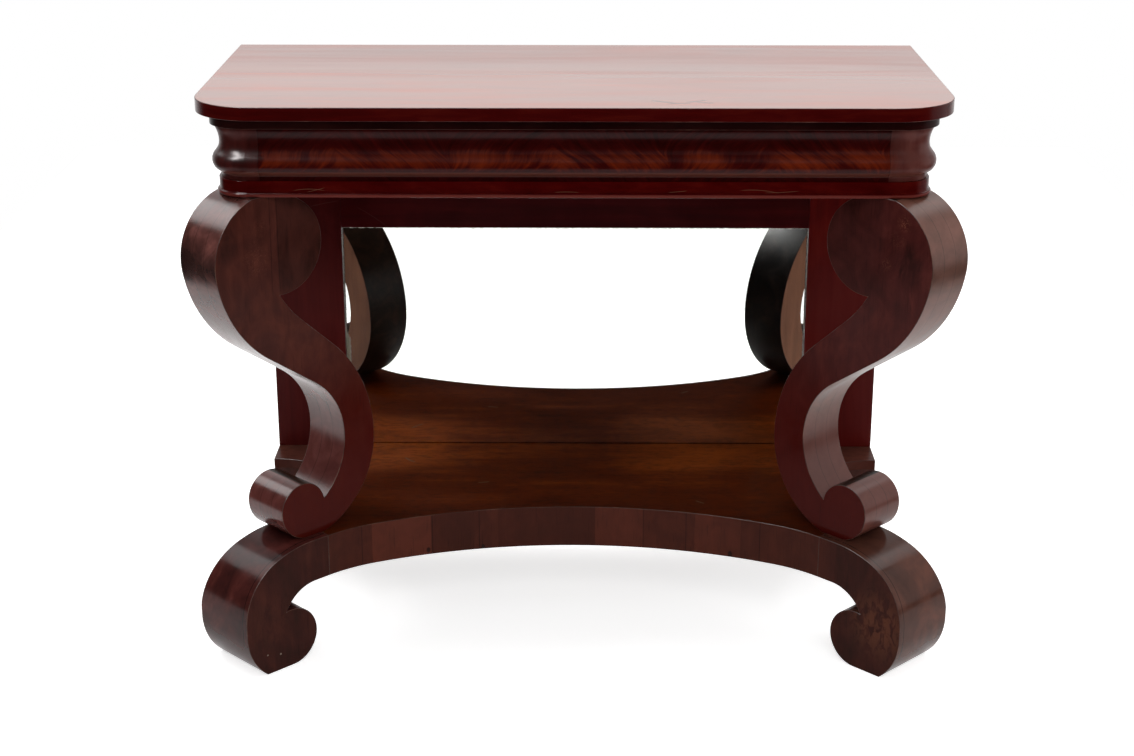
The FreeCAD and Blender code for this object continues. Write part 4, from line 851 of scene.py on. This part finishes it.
# ----------------------------------------------------------------------------------------------
# Mirror: a plate of clear glass in the rebates, silvered behind; the silver has flaked to a
# cream line along the head and the sides, and a dark paint covers its back
# ----------------------------------------------------------------------------------------------
SILVER_FRONT = 0.0003
SILVER_BACK = 0.00012
SILVER_GAP = 0.0001
SILVER_HALF = 0.391
SILVER_TOP = 0.587
SILVER_CLEAR = (0.97, 0.97, 0.96, 1)
SILVER_LOST = (0.78, 0.72, 0.56, 1)
HEAD_LOST = (0.005, 0.0085)
SIDE_LOST = (0.0, 0.004)
EATEN_FROM = (0.52, 0.62)
PAINT_TONES = ((0.030, 0.024, 0.018), (0.055, 0.045, 0.034))
PAINT_SHINE = 0.1
GLASS_TONE = (0.99, 1.0, 0.99, 1)

low_corner, high_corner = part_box("mirror_glass")


def box_of(name, low, high):
    """A plain sheet between two corners."""
    form = bmesh.new()
    bmesh.ops.create_cube(form, size=1)
    for corner in form.verts:
        corner.co = Vector(a + (c + 0.5) * (b - a) for a, b, c in zip(low, high, corner.co))
    shape = bpy.data.meshes.new(name)
    form.to_mesh(shape)
    form.free()
    piece = bpy.data.objects.new(name, shape)
    bpy.context.collection.objects.link(piece)
    return piece


def plate_glass():
    """Clear glass."""
    finish, pane = surface("plate_glass")
    shader = pane.node("ShaderNodeBsdfPrincipled", entries={
        "Base Color": GLASS_TONE, "Roughness": 0.0, "Transmission Weight": 1.0, "IOR": 1.5})
    pane.node("ShaderNodeOutputMaterial", entries={"Surface": shader})
    return finish


def old_silver():
    """Bright silver, lost along the head and here and there along the sides."""
    finish, place = surface("old_silver")
    across, _, up = place.axes()
    flakes = grain(place, (1, 1, 1), 160, 5, 0.6)
    patches = grain(place, (1, 1, 0.35), 26, 4, 0.8)
    from_head = soften(SILVER_TOP - up + flakes * 0.006, *HEAD_LOST, 1.0, 0.0)
    eaten = soften(patches, *EATEN_FROM) * 0.006
    from_side = soften(SILVER_HALF - abs(across) - eaten + flakes * 0.004, *SIDE_LOST, 1.0, 0.0)
    lost = from_head.maths("MAXIMUM", from_side)
    bright = lost.node("ShaderNodeBsdfPrincipled", entries={
        "Base Color": laid_over(lost, SILVER_CLEAR, SILVER_LOST),
        "Metallic": 1 - lost, "Roughness": soften(lost, 0.2, 0.8, 0.0, 0.7)})
    bright.node("ShaderNodeOutputMaterial", entries={"Surface": bright})
    return finish


def silver_paint():
    """Dull dark paint."""
    finish, place = surface("silver_paint")
    tone = stained(grain(place, (1, 1, 1), 12, 4, 0.8), *PAINT_TONES)
    return polished(finish, tone, 0.8, shine=PAINT_SHINE)


front = high_corner[1] - SILVER_FRONT
plate = box_of("mirror_plate", low_corner, (high_corner[0], front - SILVER_GAP, high_corner[2]))
plate.data.materials.append(plate_glass())
leaf = box_of("mirror_silver", (low_corner[0], front, low_corner[2]),
              (high_corner[0], high_corner[1] - SILVER_BACK, high_corner[2]))
leaf.data.materials.append(old_silver())
leaf.data.materials.append(silver_paint())
for face in leaf.data.polygons:
    face.material_index = rear_face(face.normal)
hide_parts("mirror_glass")
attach(plate, "root")
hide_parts("mirror_glass")
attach(leaf, "root")


# ----------------------------------------------------------------------------------------------
# Back: three thin boards behind the glass, the strips that hold them in the rebates and the stop
# rail below, all of plain softwood, fixed from behind and never polished
# ----------------------------------------------------------------------------------------------
left_plain(softwood_upright, "mirror_backboards", "mirror_strips")
left_plain(softwood_along, "mirror_stop_rail")


# ----------------------------------------------------------------------------------------------
# Frieze: a moulded ogee faced with crotch veneer in matched leaves, feathered from joint to
# joint, with turned corners butted on beyond upright seams, a painted sheen along the bulge and a
# painted reflection in the lower cove; a plain back board and glue blocks hold it together inside
# ----------------------------------------------------------------------------------------------
CROTCH_DARK = (0.011, 0.0004, 0.0004)
CROTCH_RED = (0.046, 0.0014, 0.0009)
CROTCH_FLAME = (0.180, 0.0180, 0.0022)
CORNER_TONES = ((0.022, 0.0024, 0.0018), (0.066, 0.0085, 0.0068), (0.125, 0.0350, 0.0280))
CROTCH_SHINE = 0.13
LEAF_WIDE = 0.156
LEAF_FROM = 0.387
LEAF_JOINT_WIDE = 0.0012
LEAF_SHADE = (0.012, 0.003, 0.002, 1)
FAN_RISE = 0.9
FAN_BEND = 0.8
FAN_SPREAD = 0.75
SEAM_ACROSS = 0.4527
SEAM_ALONG = -0.1372
TURNED_FROM = 0.472
TURNED_BACK = -0.1565
FULLEST_UP = 0.8045
SHEEN_TALL = (0.002, 0.024)
FLAMES = ((-0.424, 0.018), (-0.326, 0.032), (-0.234, 0.044), (-0.121, 0.062), (-0.029, 0.018),
          (0.067, 0.026), (0.118, 0.011), (0.193, 0.028), (0.332, 0.039), (0.417, 0.032))
COVE_REFLECTION_UP = 0.7825
COVE_REFLECTION_TALL = (0.002, 0.0055)
COVE_REFLECTION = (0.145, 0.0450, 0.0320, 1)
FINE_ARRIS = 0.0005
FINE_PALE = (0.16, 0.070, 0.040)
FINE_DARK = (0.08, 0.022, 0.014)


def crotch_veneer():
    """Feathers that fan up from each joint, with a painted sheen along the fullest line of the
    bulge, where the flames of the figure show.
    """
    finish, place = surface("crotch_veneer")
    across, along, up = place.axes()
    fold = (across + along + LEAF_FROM).maths("PINGPONG", LEAF_WIDE)
    feather = up * FAN_RISE - (fold ** FAN_BEND) * FAN_SPREAD
    fanned = feather.node("ShaderNodeCombineXYZ", entries={
        "X": feather, "Y": fold * 0.22, "Z": across * 0.12})
    plumes = grain(fanned, (1, 1, 1), 60, 7, 0.8)
    strands = grain(fanned, (1, 1, 1), 260, 4, 0.4)
    clouds = grain(place, (0.7, 0.7, 1), 10.5, 4, 1.4)
    ragged = grain(fanned, (1, 1, 1), 34, 5, 1.2)
    bent = grain(place, (1, 1, 0.2), 60, 5, 0.6)
    swaying = across + (up - FULLEST_UP) * 0.5 + (ragged - 0.5) * 0.06
    flare = 0.0
    for middle, half in FLAMES:
        lit = soften(abs(swaying - middle), half * 0.3, half * 1.5 + 0.014, 1.0, 0.0)
        flare = lit.maths("MAXIMUM", flare)
    # Painted sheen: a band along the fullest line of the bulge is lightened, and the flames of the
    # crotch figure brighten only within it.
    full = soften(abs(up - FULLEST_UP + (ragged - 0.5) * 0.010), *SHEEN_TALL, 1.0, 0.0)
    amount = (plumes * 0.42 + clouds * 0.24 + strands * 0.30 - 0.09
              + full * 0.09 + flare * full * 0.175)
    tone = stained(amount, CROTCH_DARK, CROTCH_RED, CROTCH_FLAME)
    aside = abs(across)
    faded = soften(across, -0.1, 0.1, -0.04, 0.20)
    corner = stained(bent * 0.5 + clouds * 0.5 + faded, *CORNER_TONES)
    beyond = (soften(aside, SEAM_ACROSS, SEAM_ACROSS + HAIR)
              * soften(along, SEAM_ALONG + HAIR, SEAM_ALONG))
    apart = soften(aside, SEAM_ACROSS, SEAM_ACROSS + 0.03, 0.45)
    tone = laid_over(beyond * apart, tone, corner)
    # Painted reflection: a grey-brown stripe in the lower cove stands in for the floor reflected
    # there.
    tone = laid_over(soften(abs(up - COVE_REFLECTION_UP), *COVE_REFLECTION_TALL, 0.8, 0.0), tone, COVE_REFLECTION)
    tone = laid_over(joint_lines(aside, (SEAM_ACROSS,), LEAF_JOINT_WIDE) * 0.45, tone, LEAF_SHADE)
    rough = uneven(clouds, 0.19, 0.26) + beyond * 0.1
    return polished(finish, tone, rough, plumes * 0.3 + strands * 0.4, CROTCH_SHINE)


def corner_joint(corner):
    """Where the turned corners are butted to the straight lengths."""
    return min(abs(abs(corner.x) - TURNED_FROM), abs(corner.y - TURNED_BACK)) < HAIR


crotch = crotch_veneer()
rubbed_fine = worn_arris("rubbed_fine", FINE_PALE, FINE_DARK, patch=20)
for part in ("front", "side_left", "side_right", "corners"):
    worked("frieze_" + part, [crotch, rubbed_fine], FINE_ARRIS, flush=corner_joint)
left_plain(softwood_along, "frieze_back", "frieze_glue_blocks")


# ----------------------------------------------------------------------------------------------
# Band: a flat fascia of mahogany with a bead along its foot, glued round under the ogee in
# lengths that are butted like the ogee's; its red polish is scratched, and a painted highlight
# runs along its bead
# ----------------------------------------------------------------------------------------------
BAND_DARK = (0.026, 0.0003, 0.0003)
BAND_RED = (0.060, 0.0006, 0.0005)
BAND_GLOW = (0.115, 0.0050, 0.0014)
BEAD_TOP = 0.7535
BEAD_HIGHLIGHT = (0.170, 0.0290, 0.0220, 1)
BAND_SHINE = 0.09
BAND_FACE = -0.2025
BAND_BARE = (0.20, 0.085, 0.050, 1)
BAND_SCRATCHES = ((-0.382, 0.7605, 0, 0.052, -4.5), (-0.372, 0.7590, 14, 0.030, 2.0),
                  (0.268, 0.7600, -4, 0.062, -3.0), (0.300, 0.7570, 3, 0.055, 1.0),
                  (0.150, 0.7575, 5, 0.030, 2.0), (-0.010, 0.7570, 0, 0.040, -2.0))


def band_veneer():
    """Lengthwise grain, redder than the ogee, with pale bowed scratches and a painted highlight
    along the bead.
    """
    finish, place = surface("band_veneer")
    _, _, up = place.axes()
    streaks = grain(place, (0.12, 0.12, 1), 120, 6, 0.8)
    clouds = grain(place, (0.6, 0.6, 1), 15, 4, 1.6)
    fibres = grain(place, (0.5, 0.5, 1), 300, 4, 1.0)
    amount = streaks * 0.35 + clouds * 0.5 + fibres * 0.15
    tone = stained(amount, BAND_DARK, BAND_RED, BAND_GLOW)
    tone = scratched(tone, place, BAND_SCRATCHES, BAND_FACE, 0.0006, 0.55, BAND_BARE, forward=True)
    # Painted highlight: a light line along the bead.
    tone = laid_over(soften(up, BEAD_TOP, BEAD_TOP - 0.001, 0.0, 0.85), tone, BEAD_HIGHLIGHT)
    rough = uneven(clouds, 0.16, 0.26)
    return polished(finish, tone, rough, streaks * 0.5 + fibres * 0.3, BAND_SHINE)


band = band_veneer()
for part in ("front", "side_left", "side_right", "corners"):
    worked("band_" + part, [band], FINE_ARRIS, flush=corner_joint)


# ----------------------------------------------------------------------------------------------
# Sub-top: the frame of boards that packs the top off the frieze, glued to it; the front and side
# boards are nearly black and show as a narrow fillet, and the rest is plain softwood
# ----------------------------------------------------------------------------------------------
SUBTOP_DARK = (0.009, 0.0004, 0.0003)
SUBTOP_MID = (0.019, 0.0008, 0.0005)
SUBTOP_LIGHT = (0.038, 0.0030, 0.0018)
SUBTOP_ARRIS = 0.0006
SUBTOP_SHINE = 0.1


def fillet_wood():
    """Nearly black lengthwise grain."""
    finish, place = surface("fillet_wood")
    streaks = grain(place, (0.1, 0.1, 1), 110, 5, 0.8)
    clouds = grain(place, (0.6, 0.6, 1), 14, 3, 1)
    tone = stained(streaks * 0.5 + clouds * 0.5, SUBTOP_DARK, SUBTOP_MID, SUBTOP_LIGHT)
    return polished(finish, tone, uneven(clouds, 0.3, 0.45), streaks, SUBTOP_SHINE)


fillet = fillet_wood()
for part in ("front", "side_left", "side_right"):
    worked("subtop_" + part, [fillet, rubbed_brown], SUBTOP_ARRIS)
left_plain(softwood_along, "subtop_back", "subtop_cross")


# ----------------------------------------------------------------------------------------------
# Top: one mahogany board with rounded front corners, screwed on from below; its upper face is
# thickly polished, with a painted sheen that makes it lighter and greyer towards the front; its
# edge is deep red with the arrises rubbed pale
# ----------------------------------------------------------------------------------------------
TOP_FACE = 0.886
TOP_ARRIS = 0.0009
TOP_SHINE = 0.5
TOP_EDGE_SHINE = 0.1
TOP_RELIEF = 0.00002
SHEEN_FROM = (0.30, 0.02)
SCRATCH_DARK = (0.06, 0.020, 0.016, 1)
TOP_UNSHEENED = ((0.130, 0.040, 0.026), (0.185, 0.050, 0.030), (0.250, 0.052, 0.028))
TOP_SHEENED = ((0.225, 0.120, 0.100), (0.270, 0.128, 0.104), (0.350, 0.112, 0.080))
EDGE_DARK = (0.030, 0.0005, 0.0004)
EDGE_RED = (0.058, 0.0008, 0.0007)
EDGE_GLOW = (0.100, 0.0070, 0.0026)
TOP_SCRATCHES = ((0.128, -0.190, -28, 0.045, 3.0), (0.150, -0.200, 10, 0.040, -6.0),
                 (0.176, -0.185, 30, 0.040, 4.0), (0.187, -0.196, -14, 0.030, 9.0))
TOP_BARE = (0.20, 0.085, 0.060)


def top_polish():
    """Long straight streaks, rosier in places, under a thick bright polish, with a painted sheen
    towards the front.
    """
    finish, place = surface("top_polish")
    _, along, _ = place.axes()
    streaks = grain(place, (0.06, 1, 1), 75, 6, 0.5)
    ribbons = grain(place, (0.10, 1, 1), 16, 5, 0.9)
    clouds = grain(place, (0.45, 1, 1), 7, 4, 1.2)
    amount = ribbons * 0.8 + clouds * 0.5 + streaks * 0.2 - 0.25
    # Painted sheen: the front of the face takes lighter, greyer tones than the back.
    sheened = soften(along + ribbons * 0.2, *SHEEN_FROM)
    tone = laid_over(sheened, stained(amount, *TOP_UNSHEENED), stained(amount, *TOP_SHEENED))
    tone = scratched(tone, place, TOP_SCRATCHES, TOP_FACE, 0.0045, 0.55, SCRATCH_DARK)
    rough = uneven(ribbons, 0.20, 0.265)
    return polished(finish, tone, rough, streaks * 0.6 + ribbons * 0.4, TOP_SHINE, TOP_RELIEF)


def top_edge():
    """Deep red lengthwise grain, with a few orange spots where the stain is thin."""
    finish, place = surface("top_edge")
    clouds = grain(place, (0.45, 1, 1), 7, 4, 1.2)
    fibres = grain(place, (0.1, 0.1, 1), 160, 5, 0.8)
    tone = stained(clouds * 0.5 + fibres * 0.5, EDGE_DARK, EDGE_RED, EDGE_GLOW)
    return polished(finish, tone, uneven(clouds, 0.19, 0.26), fibres, TOP_EDGE_SHINE)


rubbed_red = worn_arris("rubbed_red", TOP_BARE, EDGE_RED, patch=34)
worked("top_board", [top_polish(), top_edge(), rubbed_red], TOP_ARRIS, upper_face)


# ----------------------------------------------------------------------------------------------
# Screws: four steel wood screws, driven up from countersinks in the sub-top into the top, which
# they draw down on it
# ----------------------------------------------------------------------------------------------
STEEL_TONES = ((0.35, (0.22, 0.20, 0.19)), (0.7, (0.42, 0.41, 0.40)))

screw_steel, place = surface("screw_steel")
dulled = place.node("ShaderNodeTexNoise", None, {"Vector": place, "Scale": 260, "Detail": 3})
steel = dulled.node("ShaderNodeBsdfPrincipled", entries={
    "Base Color": dulled.node("ShaderNodeValToRGB", {"stops": STEEL_TONES}, {"Fac": dulled}),
    "Metallic": 1.0, "Roughness": uneven(dulled, 0.35, 0.55)})
steel.node("ShaderNodeOutputMaterial", entries={"Surface": steel})
left_plain(screw_steel, "top_screws")
